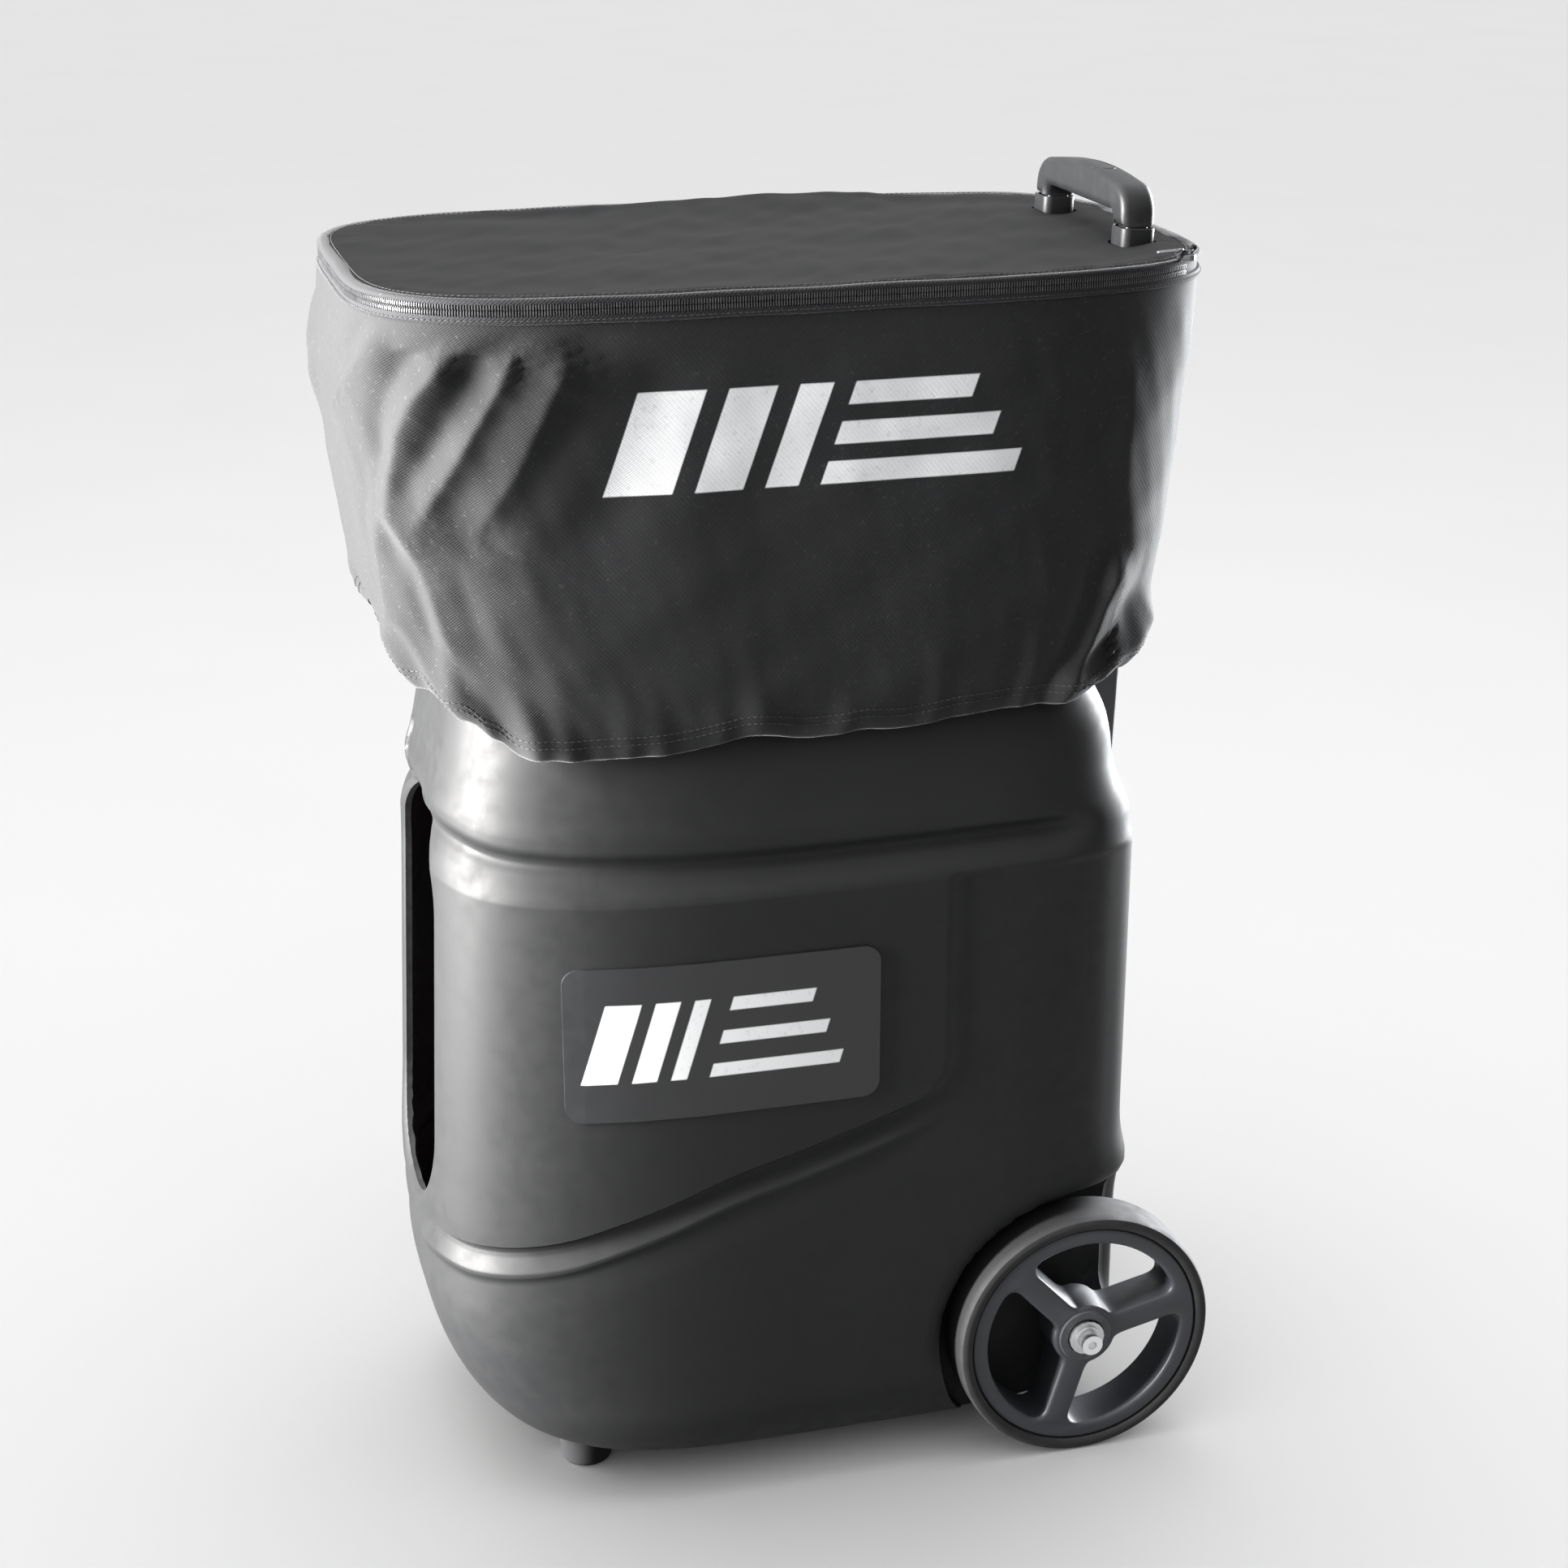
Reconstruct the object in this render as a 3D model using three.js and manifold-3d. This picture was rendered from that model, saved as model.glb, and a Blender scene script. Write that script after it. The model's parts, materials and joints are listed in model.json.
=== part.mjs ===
// A tennis ball machine: a moulded body on two wheels, a ball hopper under a soft cover,
// and a trolley handle.
// Millimetres. +Z is up, -X is the front, where balls leave, and -Y is the machine's left side.
// The origin is on the floor, in the middle of the outline.
import * as THREE from "three";
import { mergeVertices } from "three/addons/utils/BufferGeometryUtils.js";
import Module from "manifold-3d";

const wasm = await Module();
wasm.setup();

// ---- driving dimensions ----
const GAP = 0.3; // between pieces that touch
const WALL = 3.5; // moulded shells
const BODY = { half: 140, front: 220, frontTop: 211, rear: 203, top: 484, bottom: 14 };
const SIDE_ROUND = 48; // body side to underside
const NOSE_ROUND = { x: 92, z: 112 }; // body front to underside
const TAIL_ROUND = 56; // body rear to underside
const SHOULDER_Z = 392; // where the body starts to step in to its neck
const SLOT = { half: 58.5, low: 166, high: 420 };
const WHEEL = { x: 164.5, r: 80, inner: 116, outer: 148, arch: 90, wellWall: 107 };
const RIM_R = 71.7;
const HUB_R = 17;
const SPOKES = [13, 133, 253]; // degrees, from +X towards +Z
const FRONT_FEET = { r: 17, x: -130, y: 70.5, low: 0, top: 30 };
const REAR_FEET = { r: 13, x: 129.5, y: 66, low: 1.5, top: 28 };
const NOSE_PLATE = { half: 47, low: 422, high: 451, round: 9, depth: 2 }; // sunk in the neck's front
const LAUNCH = { x: -80, z: 292, wheelR: 52, wheelDz: 80, plateY: 68.5, boreR: 38 };
const FEED = { x: -24, pitchR: 80, holeX: 56, floorZ: 487, floorThick: 4, motorLow: 426 };
const RIM = { z: 718, front: 238, rear: 234, half: 148 };
const COVER = { thick: 2, hemZ: 468, zipZ: 714, zipHeight: 11.5 };
const LID = { z: 721, thick: 2.6, hingeX: 180, inset: 3.6 };
const HANDLE = { x: 199.8, z: 724, tilt: 2.3, y: 61, gripHalf: 69, top: 33.5 };
const TUBES = { outer: [19.6, 20.4], mid: [16.4, 17.2], inner: [13.2, 14], wall: 1.2 };
const PANEL = { half: 62, low: 112, high: 200, face: 205, thick: 7 };
const KNOBS = { y: [-42, -14], z: 134, r: 10 };
const BUTTON = { y: 14, z: 134, r: 9 };
const ROCKER = { y: 40, z: 171 };
const SOCKET = { y: 40, z: 134, r: 8 };
const DISPLAY = { y: [-50, -6], z: [159, 187] };
const HATCH = { front: -102, rear: 134, half: 42, lip: 8 };
const BALL_BOX_REAR = 172; // the ball space ends here, and the handle's tubes run behind it
const AROUND = 40; // points round a moulded outline

// ---- materials ----
function finish(color, roughness, metalness = 0) {
  return new THREE.MeshStandardMaterial({ color, roughness, metalness });
}
const bodyPlastic = finish(0x1b1c1e, 0.6);
const innerPlastic = finish(0x2b2d30, 0.55);
const wheelPlastic = finish(0x2a2c30, 0.5);
const rubber = finish(0x17181a, 0.85);
const fabric = finish(0x232426, 0.9);
const zipperTape = finish(0x1c1d1f, 0.8);
const gripPlastic = finish(0x242528, 0.4);
const tubeMetal = finish(0x2c2d30, 0.35, 0.7);
const steel = finish(0x9a9c9e, 0.3, 1);
const chrome = finish(0xd8dadc, 0.1, 1);
const labelFilm = finish(0x141517, 0.45);
const throwRubber = finish(0x7d2f24, 0.8);
const motorCan = finish(0x6f7275, 0.35, 0.9);
const boardGreen = finish(0x1f4a2e, 0.6);
const batteryCase = finish(0x33363a, 0.6);
const displayGlass = finish(0x0d1418, 0.1);
const signalRed = finish(0xa32218, 0.4);
const softGrey = finish(0x8a8d90, 0.5);

const machine = new THREE.Group();

function add(name, shape, material, group = machine) {
  const geometry = shape.isBufferGeometry ? shape : geometryOf(shape);
  const mesh = new THREE.Mesh(geometry, material);
  mesh.name = name;
  group.add(mesh);
}

// ---- joining and cutting ----
function solid(geometry) {
  const bare = geometry.clone();
  bare.deleteAttribute("normal");
  bare.deleteAttribute("uv");
  const merged = mergeVertices(bare, 1e-3);
  return new wasm.Manifold(new wasm.Mesh({
    numProp: 3,
    vertProperties: new Float32Array(merged.attributes.position.array),
    triVerts: new Uint32Array(merged.index.array),
  }));
}

function geometryOf(body) {
  const mesh = body.getMesh();
  const geometry = new THREE.BufferGeometry();
  geometry.setAttribute("position", new THREE.BufferAttribute(mesh.vertProperties, 3));
  geometry.setIndex(new THREE.BufferAttribute(mesh.triVerts, 1));
  return geometry;
}

function cut(body, ...tools) {
  return tools.reduce((rest, tool) => rest.subtract(tool), body);
}

function join(first, ...others) {
  return others.reduce((whole, other) => whole.add(other), first);
}

// ---- simple solids ----
function box(x0, x1, y0, y1, z0, z1) {
  const geometry = new THREE.BoxGeometry(x1 - x0, y1 - y0, z1 - z0);
  geometry.translate((x0 + x1) / 2, (y0 + y1) / 2, (z0 + z1) / 2);
  return solid(geometry);
}

// A cylinder along X, Y or Z between two coordinates on that axis.
// The centre gives the other two in X, Y, Z order.
function rod(axis, r, from, to, centre, sides = 16) {
  const geometry = new THREE.CylinderGeometry(r, r, to - from, sides);
  const middle = (from + to) / 2;
  if (axis === "x") geometry.rotateZ(-Math.PI / 2).translate(middle, centre[0], centre[1]);
  if (axis === "y") geometry.translate(centre[0], middle, centre[1]);
  if (axis === "z") geometry.rotateX(Math.PI / 2).translate(centre[0], centre[1], middle);
  return solid(geometry);
}

function pipe(axis, outer, inner, from, to, centre, sides = 16) {
  const body = rod(axis, outer, from, to, centre, sides);
  return cut(body, rod(axis, inner, from - 1, to + 1, centre, sides));
}

// A rectangle with round corners in a plane, centred on u, v.
function roundedRect(u, v, width, height, r, steps = 4) {
  const shape = new THREE.Shape();
  const [w, h] = [width / 2 - r, height / 2 - r];
  shape.absarc(u + w, v + h, r, 0, Math.PI / 2);
  shape.absarc(u - w, v + h, r, Math.PI / 2, Math.PI);
  shape.absarc(u - w, v - h, r, Math.PI, 1.5 * Math.PI);
  shape.absarc(u + w, v - h, r, 1.5 * Math.PI, 2 * Math.PI);
  shape.closePath();
  return new THREE.Shape(dropRepeats(shape.getPoints(steps)));
}

function dropRepeats(points) {
  return points.filter((p, i) => p.distanceTo(points[(i + 1) % points.length]) > 1e-3);
}

// Extrudes a shape drawn as (X, Z), seen from the left side, between two Y values.
function extrudeAlongY(shape, y0, y1) {
  const geometry = new THREE.ExtrudeGeometry(shape, { depth: y1 - y0, bevelEnabled: false, steps: 1 });
  return solid(geometry.rotateX(Math.PI / 2).translate(0, y1, 0));
}

// Extrudes a shape drawn as (Y, Z), seen from the rear, between two X values.
function extrudeAlongX(shape, x0, x1) {
  const geometry = new THREE.ExtrudeGeometry(shape, { depth: x1 - x0, bevelEnabled: false, steps: 1 });
  return solid(geometry.rotateX(Math.PI / 2).rotateZ(Math.PI / 2).translate(x0, 0, 0));
}

function extrudeAlongZ(shape, z0, z1) {
  const geometry = new THREE.ExtrudeGeometry(shape, { depth: z1 - z0, bevelEnabled: false, steps: 1 });
  return solid(geometry.translate(0, 0, z0));
}

// ---- moulded outlines ----
// A soft-cornered outline with its own front and rear corner sharpness.
function outline(level) {
  const points = [];
  for (let i = 0; i < AROUND; i++) {
    const angle = (2 * Math.PI * i) / AROUND;
    const [c, s] = [Math.cos(angle), Math.sin(angle)];
    const power = 2 / (c < 0 ? level.frontSharp : level.rearSharp);
    const x = Math.abs(c) ** power * (c < 0 ? -level.front : level.rear);
    const y = Math.sign(s) * Math.abs(s) ** power * level.half;
    points.push(new THREE.Vector3(x, y, level.z));
  }
  return points;
}

// A closed solid through outlines stacked from low to high.
function loft(levels) {
  const rings = levels.map(outline);
  const positions = rings.flat().flatMap((p) => [p.x, p.y, p.z]);
  const last = levels.length - 1;
  const index = [];
  for (let k = 0; k < last; k++)
    for (let i = 0; i < AROUND; i++) {
      const j = (i + 1) % AROUND;
      const [a, b] = [k * AROUND + i, k * AROUND + j];
      index.push(a, b, b + AROUND, a, b + AROUND, a + AROUND);
    }
  positions.push(0, 0, levels[0].z, 0, 0, levels[last].z);
  const [low, high] = [AROUND * levels.length, AROUND * levels.length + 1];
  for (let i = 0; i < AROUND; i++) {
    const j = (i + 1) % AROUND;
    index.push(low, j, i, high, last * AROUND + i, last * AROUND + j);
  }
  const geometry = new THREE.BufferGeometry();
  geometry.setAttribute("position", new THREE.Float32BufferAttribute(positions, 3));
  geometry.setIndex(index);
  return solid(geometry);
}

// How far a quarter round reaches out at a height below its centre.
function quarterRound(below, rOut, rDown) {
  return rOut * Math.sqrt(Math.max(0, 1 - (below / rDown) ** 2));
}

// ---- body ----
const NECK = [ // height, then how far front, side and rear step in from the body below
  [SHOULDER_Z, 0, 0, 1], [405, 3, 8, 2], [409, 5, 10.5, 2.5], [416, 4, 7.5, 5],
  [436, 7, 9.5, 12], [450, 9.7, 11.9, 13.5], [462, 12, 14, 16], [BODY.top, 17, 22, 26],
];

// The body's outline at a height, drawn in by a wall thickness.
function bodyLevel(z, wall) {
  const sideCentre = BODY.bottom + SIDE_ROUND;
  const noseCentre = BODY.bottom + NOSE_ROUND.z;
  const tailCentre = BODY.bottom + TAIL_ROUND;
  const lean = ((BODY.front - BODY.frontTop) * Math.max(0, z - 180)) / (SHOULDER_Z - 180);
  let front = BODY.front - Math.min(lean, BODY.front - BODY.frontTop) - wall;
  let half = BODY.half - wall;
  let rear = BODY.rear - wall;
  if (z < noseCentre) {
    const reach = quarterRound(noseCentre - z, NOSE_ROUND.x - wall, NOSE_ROUND.z - wall);
    front = BODY.front - NOSE_ROUND.x + reach;
  }
  if (z < sideCentre)
    half = BODY.half - SIDE_ROUND + quarterRound(sideCentre - z, SIDE_ROUND - wall, SIDE_ROUND - wall);
  if (z < tailCentre)
    rear = BODY.rear - TAIL_ROUND + quarterRound(tailCentre - z, TAIL_ROUND - wall, TAIL_ROUND - wall);
  const step = NECK.find((row) => row[0] === z) ?? [z, 0, 0, 0];
  return { z, front: front - step[1], half: half - step[2], rear: rear - step[3],
    frontSharp: 3.4, rearSharp: 6.5 };
}

function bodySolid(wall) {
  const rounds = [0, 6, 20, 42, 66];
  const low = wall > 0 ? wall : 0;
  const heights = rounds.map((h) => BODY.bottom + Math.max(h, low)).filter((z, i, all) => z !== all[i - 1]);
  heights.push(130, 180, 290, ...NECK.map((row) => row[0]));
  if (wall > 0) heights.push(BODY.top + 5);
  return loft(heights.map((z) => {
    const level = bodyLevel(Math.min(z, BODY.top), wall);
    return { ...level, z };
  }));
}

function slotPrism(grow, x0, x1) {
  const height = SLOT.high - SLOT.low;
  const shape = roundedRect(0, (SLOT.low + SLOT.high) / 2, 2 * (SLOT.half + grow), height + 2 * grow,
    SLOT.half + grow - 0.01, 8);
  return extrudeAlongX(shape, x0, x1);
}

function bothSides(make) {
  return join(make(-1), make(1));
}

function span(side, near, far) {
  return side < 0 ? [-far, -near] : [near, far];
}

function wheelWells(grow) {
  return bothSides((side) => {
    const [y0, y1] = span(side, WHEEL.wellWall - grow, 200);
    return rod("y", WHEEL.arch + grow, y0, y1, [WHEEL.x, WHEEL.r], 40);
  });
}

function handleFrame() {
  const group = new THREE.Group();
  group.position.set(HANDLE.x, 0, HANDLE.z);
  group.rotation.y = (HANDLE.tilt * Math.PI) / 180;
  machine.add(group);
  group.updateMatrixWorld(true);
  return group;
}
const handleGroup = handleFrame();

// A box in the handle's leaning frame, given there, as a solid of the machine's frame.
function leaningBox(width, depth, y, z0, z1) {
  const geometry = new THREE.BoxGeometry(width, depth, z1 - z0);
  geometry.translate(0, y, (z0 + z1) / 2).applyMatrix4(handleGroup.matrixWorld);
  return solid(geometry);
}

function handleHoles(z0, z1) {
  return bothSides((side) => leaningBox(20.4, 21.2, side * HANDLE.y, z0, z1));
}

function footPockets() {
  const pocket = (feet) => bothSides((side) => rod("z", feet.r + GAP, 0, 40, [feet.x, side * feet.y]));
  return join(pocket(FRONT_FEET), pocket(REAR_FEET));
}

// A shallow field with round corners, the same depth everywhere.
function nosePlateTool() {
  const { half, low, high, round, depth } = NOSE_PLATE;
  const field = extrudeAlongX(roundedRect(0, (low + high) / 2, 2 * half, high - low, round), -240, -150);
  return cut(field, bodySolid(depth));
}

function makeBodyShell() {
  const outside = cut(bodySolid(0), wheelWells(0));
  const inside = cut(bodySolid(WALL), wheelWells(WALL));
  const shell = cut(outside, inside);
  const hatch = box(HATCH.front, HATCH.rear, -HATCH.half, HATCH.half, 0, 40);
  const panelHole = box(PANEL.face - 29, PANEL.face + 21, -PANEL.half, PANEL.half, PANEL.low, PANEL.high);
  const axleHoles = rod("y", 6.6, -130, 130, [WHEEL.x, WHEEL.r]);
  const cutShell = cut(shell, slotPrism(0, -240, -150), hatch, panelHole, axleHoles, footPockets(),
    handleHoles(-345, -200), nosePlateTool());
  add("body_shell", cutShell, bodyPlastic);
}

function makeBase() {
  const middle = (HATCH.front + HATCH.rear) / 2;
  const length = HATCH.rear - HATCH.front + 2 * HATCH.lip;
  const width = 2 * (HATCH.half + HATCH.lip);
  const plate = extrudeAlongZ(roundedRect(middle, 0, length, width, 12), 10.4, BODY.bottom - GAP);
  add("base_plate", plate, innerPlastic);
  for (const [side, word] of [[-1, "left"], [1, "right"]]) {
    for (const [end, feet] of [["front", FRONT_FEET], ["rear", REAR_FEET]])
      add(`${end}_foot_${word}`, rod("z", feet.r, feet.low, feet.top, [feet.x, side * feet.y]), rubber);
  }
}

function makeLabels() {
  const skin = cut(bodySolid(-1.5), bodySolid(-GAP));
  const field = roundedRect(-57.5, 305, 181, 94, 10);
  for (const [side, word] of [[-1, "left"], [1, "right"]])
    add(`side_label_${word}`, skin.intersect(extrudeAlongY(field, ...span(side, 100, 160))), labelFilm);
}

// ---- hopper ----
const HOPPER = [ // height, front, side, rear of the tub's outside
  [FEED.floorZ, 194, 122, 172], [496, 204, 127, 197], [513, 209, 131, 204], [548, 222, 137, 211],
  [614, 232, 142, 219], [669, 236, 144, 223], [RIM.z, 233, 144.5, 226],
];

function hopperLevels(grow) {
  return HOPPER.map(([z, front, half, rear]) => (
    { z, front: front + grow, half: half + grow, rear: rear + grow, frontSharp: 4.3, rearSharp: 4.3 }));
}

function makeHopperTub() {
  const outside = loft(hopperLevels(0));
  const inside = loft(hopperLevels(-WALL).map((level, i) => (
    { ...level, z: i === 0 ? FEED.floorZ + FEED.floorThick : level.z + (i === HOPPER.length - 1 ? 5 : 0) })));
  const ballSpace = cut(inside, box(BALL_BOX_REAR, 300, -200, 200, 400, 800));
  const low = loft(hopperLevels(-WALL).map((level, i) => (
    { ...level, z: i === 0 ? FEED.floorZ - 5 : level.z - (i === HOPPER.length - 1 ? 7 : 0) })));
  const tubeSpace = low.intersect(box(BALL_BOX_REAR + WALL, 300, -200, 200, 400, 800));
  const chuteHole = rod("z", 40.5, 400, 500, [FEED.holeX, 0], 32);
  const shaftHole = rod("z", 8, 400, 500, [FEED.x, 0]);
  const tub = cut(outside, ballSpace, tubeSpace, chuteHole, shaftHole, handleHoles(-260, 20));
  const floorTop = FEED.floorZ + FEED.floorThick;
  add("hopper_floor", tub.intersect(box(-300, 300, -200, 200, 400, floorTop)), innerPlastic);
  add("hopper_tub", tub.intersect(box(-300, 300, -200, 200, floorTop + GAP, 800)), innerPlastic);
}

function makeFeeder() {
  let rotor = rod("z", 108, FEED.floorZ + 5, FEED.floorZ + 35, [0, 0], 40);
  for (let i = 0; i < 5; i++) {
    const angle = (2 * Math.PI * i) / 5;
    const at = [FEED.pitchR * Math.cos(angle), FEED.pitchR * Math.sin(angle)];
    rotor = cut(rotor, rod("z", 37.5, 480, 540, at, 24));
  }
  const cone = new THREE.ConeGeometry(38, 24, 20).rotateX(Math.PI / 2).translate(0, 0, FEED.floorZ + 46.5);
  rotor = join(rotor, solid(cone), rod("z", 5, FEED.floorZ - 18, FEED.floorZ + 6, [0, 0], 16));
  add("feeder_rotor", rotor.translate([FEED.x, 0, 0]), innerPlastic);
  const can = rod("z", 21, FEED.motorLow, FEED.floorZ - 20, [FEED.x, 0]);
  const gearbox = rod("z", 26, FEED.floorZ - 20.5, FEED.floorZ - GAP - 2, [FEED.x, 0]);
  add("feeder_motor", cut(join(can, gearbox), rod("z", 5.5, 465, 500, [FEED.x, 0], 16)), motorCan);
  const chuteTop = FEED.floorZ + FEED.floorThick;
  add("drop_chute", pipe("z", 40, 37, 374, chuteTop, [FEED.holeX, 0], 36), innerPlastic);
}

// ---- launcher ----
function makeYoke() {
  const floor = box(LAUNCH.x - 52, LAUNCH.x + 52, -80, 80, 48, 53);
  const cheeks = bothSides((side) => {
    const shape = roundedRect(LAUNCH.x, 179, 56, 262, 20);
    return extrudeAlongY(shape, ...span(side, 75.5, 80));
  });
  const pivotHole = rod("y", 6.5, -90, 90, [LAUNCH.x, LAUNCH.z]);
  const post = rod("z", 9, 40, 50, [LAUNCH.x, 0]);
  add("swing_yoke", join(cut(join(floor, cheeks), pivotHole), post), softGrey);
  const gearbox = box(LAUNCH.x - 36, LAUNCH.x + 36, -34, 34, 19.5, 40);
  const bearing = rod("z", 24, 39, 47.6, [LAUNCH.x, 0]);
  add("swing_motor", cut(join(gearbox, bearing), rod("z", 9.5, 39.6, 60, [LAUNCH.x, 0])), motorCan);
  const motorAt = [LAUNCH.x, LAUNCH.z - 30];
  add("pitch_motor", join(rod("y", 20, 80.4, 112, motorAt), rod("y", 12, 111, 122, motorAt)), motorCan);
}

function makeLauncherFrame() {
  const plates = bothSides((side) => {
    const shape = roundedRect(LAUNCH.x, LAUNCH.z, 128, 190, 24);
    return extrudeAlongY(shape, ...span(side, LAUNCH.plateY, LAUNCH.plateY + 3));
  });
  const stubs = bothSides((side) => rod("y", 6, ...span(side, LAUNCH.plateY, 79.5), [LAUNCH.x, LAUNCH.z]));
  const bars = [[-58, 64], [58, 64], [-58, -64], [58, -64]].map(([dx, dz]) => (
    rod("y", 4.5, -LAUNCH.plateY - 1, LAUNCH.plateY + 1, [LAUNCH.x + dx, LAUNCH.z + dz], 14)));
  add("launcher_frame", join(plates, stubs, ...bars), softGrey);
  const ring = pipe("x", LAUNCH.boreR + 3, LAUNCH.boreR, LAUNCH.x - 76, LAUNCH.x - 36, [0, LAUNCH.z], 28);
  const web = cut(box(LAUNCH.x - 54, LAUNCH.x - 50, -68.2, 68.2, LAUNCH.z - 26, LAUNCH.z + 26),
    rod("x", LAUNCH.boreR + 1, LAUNCH.x - 80, LAUNCH.x, [0, LAUNCH.z], 28));
  add("launch_muzzle", join(ring, web), innerPlastic);
}

// The open tray that catches a ball from the chute and guides it between the throwing wheels.
function makeBallTray() {
  const plan = (inset) => {
    const front = LAUNCH.x + 36 - (inset ? 2 : 0);
    const [bend, rear] = [LAUNCH.x + 100, LAUNCH.x + 172 - inset];
    const [narrow, wide] = [41 - inset, 65 - inset];
    return new THREE.Shape([
      new THREE.Vector2(front, -narrow), new THREE.Vector2(bend, -wide), new THREE.Vector2(rear, -wide),
      new THREE.Vector2(rear, wide), new THREE.Vector2(bend, wide), new THREE.Vector2(front, narrow),
    ]);
  };
  const outside = extrudeAlongZ(plan(0), LAUNCH.z - 41, LAUNCH.z + 12);
  const inside = extrudeAlongZ(plan(3), LAUNCH.z - 38, LAUNCH.z + 20);
  add("ball_tray", cut(outside, inside), innerPlastic);
}

function makeThrowers() {
  for (const [sign, word] of [[1, "upper"], [-1, "lower"]]) {
    const z = LAUNCH.z + sign * LAUNCH.wheelDz;
    const r = LAUNCH.wheelR;
    const profile = [[0, -18], [14, -18], [14, -6], [r - 10, -6], [r - 10, -18], [r, -18], [r - 6, 0],
      [r, 18], [r - 10, 18], [r - 10, 6], [14, 6], [14, 18], [5, 18], [5, 24], [0, 24]];
    const wheel = new THREE.LatheGeometry(profile.map(([x, y]) => new THREE.Vector2(x, y)), 22);
    add(`throw_wheel_${word}`, solid(wheel.translate(LAUNCH.x, 0, z)), throwRubber);
    const can = join(rod("y", 21, 22, 60, [LAUNCH.x, z]), rod("y", 9, 59, 68.2, [LAUNCH.x, z]));
    add(`throw_motor_${word}`, cut(can, rod("y", 5.5, 18, 26, [LAUNCH.x, z], 16)), motorCan);
  }
}

// ---- electrics ----
function makeElectrics() {
  const battery = extrudeAlongZ(roundedRect(100, 0, 88, 104, 6), 19.5, 104);
  add("battery_pack", join(battery, box(72, 130, -12, 12, 103, 109)), batteryCase);
  const board = box(156, 158, -56, 56, 216, 306);
  const sink = box(144, 157, -40, 0, 226, 296);
  const plugs = box(146, 157, 14, 50, 232, 244);
  add("control_board", join(board, sink, plugs), boardGreen);
}

function makePanel() {
  const face = PANEL.face;
  const plate = extrudeAlongX(roundedRect(0, (PANEL.low + PANEL.high) / 2, 2 * (PANEL.half - 0.4),
    PANEL.high - PANEL.low - 0.8, 6), face - PANEL.thick, face);
  const [y0, y1] = DISPLAY.y;
  const [z0, z1] = DISPLAY.z;
  const window = box(face - 2, face + 1, y0 - GAP, y1 + GAP, z0 - GAP, z1 + GAP);
  const through = (r, y, z) => rod("x", r, face - 15, face + 10, [y, z]);
  const rockerHole = box(face - 15, face + 10, ROCKER.y - 7, ROCKER.y + 7, ROCKER.z - 9.8, ROCKER.z + 9.8);
  const cutPlate = cut(plate, window, rockerHole, ...KNOBS.y.map((y) => through(3.6, y, KNOBS.z)),
    through(BUTTON.r + 0.4, BUTTON.y, BUTTON.z), through(SOCKET.r + GAP, SOCKET.y, SOCKET.z));
  add("control_panel", cutPlate, innerPlastic);
  add("display_window", box(face - 1.6, face + 0.4, y0, y1, z0, z1), displayGlass);
}

function makeControls() {
  const face = PANEL.face;
  ["speed", "feed"].forEach((word, i) => {
    const [y, z] = [KNOBS.y[i], KNOBS.z];
    const cap = rod("x", KNOBS.r, face + 0.6, face + 12, [y, z], 20);
    const shaft = rod("x", 3, face - 10, face + 1, [y, z], 12);
    const pointer = box(face + 11, face + 13, y - 0.8, y + 0.8, z + 1, z + KNOBS.r - 0.5);
    add(`${word}_knob`, join(cap, shaft, pointer), gripPlastic);
  });
  add("start_button", rod("x", BUTTON.r, face - 6, face + 3.5, [BUTTON.y, BUTTON.z], 20), signalRed);
  const rocker = roundedRect(face - 0.5, ROCKER.z, 7, 18.4, 2.5, 3);
  add("power_rocker", extrudeAlongY(rocker, ROCKER.y - 6.5, ROCKER.y + 6.5), gripPlastic);
  const centre = [SOCKET.y, SOCKET.z];
  const barrel = pipe("x", SOCKET.r, 3.2, face - 12, face + 1.5, centre, 20);
  const pin = rod("x", 1.2, face - 11, face - 1, centre, 10);
  const back = rod("x", SOCKET.r, face - 12, face - 10, centre, 20);
  add("charge_socket", join(barrel, pin, back), steel);
}

// ---- wheels ----
// One window between two spokes: a ring sector with round corners.
function wheelWindow(from, to) {
  const inner = 22;
  const outer = 62;
  const halfSpoke = 7.5;
  const corner = 9;
  const path = new THREE.Shape();
  const at = (r, angle) => new THREE.Vector2(r * Math.cos(angle), r * Math.sin(angle));
  const inset = (r) => Math.asin(halfSpoke / r);
  const middle = (from + to) / 2;
  const [a0, a1] = [from + inset(outer - corner), to - inset(outer - corner)];
  const turn = corner / outer;
  path.moveTo(...at(inner, middle).toArray());
  path.lineTo(...at(outer - corner, a0).toArray());
  path.quadraticCurveTo(...at(outer, a0).toArray(), ...at(outer, a0 + turn).toArray());
  path.absarc(0, 0, outer, a0 + turn, a1 - turn, false);
  path.quadraticCurveTo(...at(outer, a1).toArray(), ...at(outer - corner, a1).toArray());
  path.closePath();
  return path;
}

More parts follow.
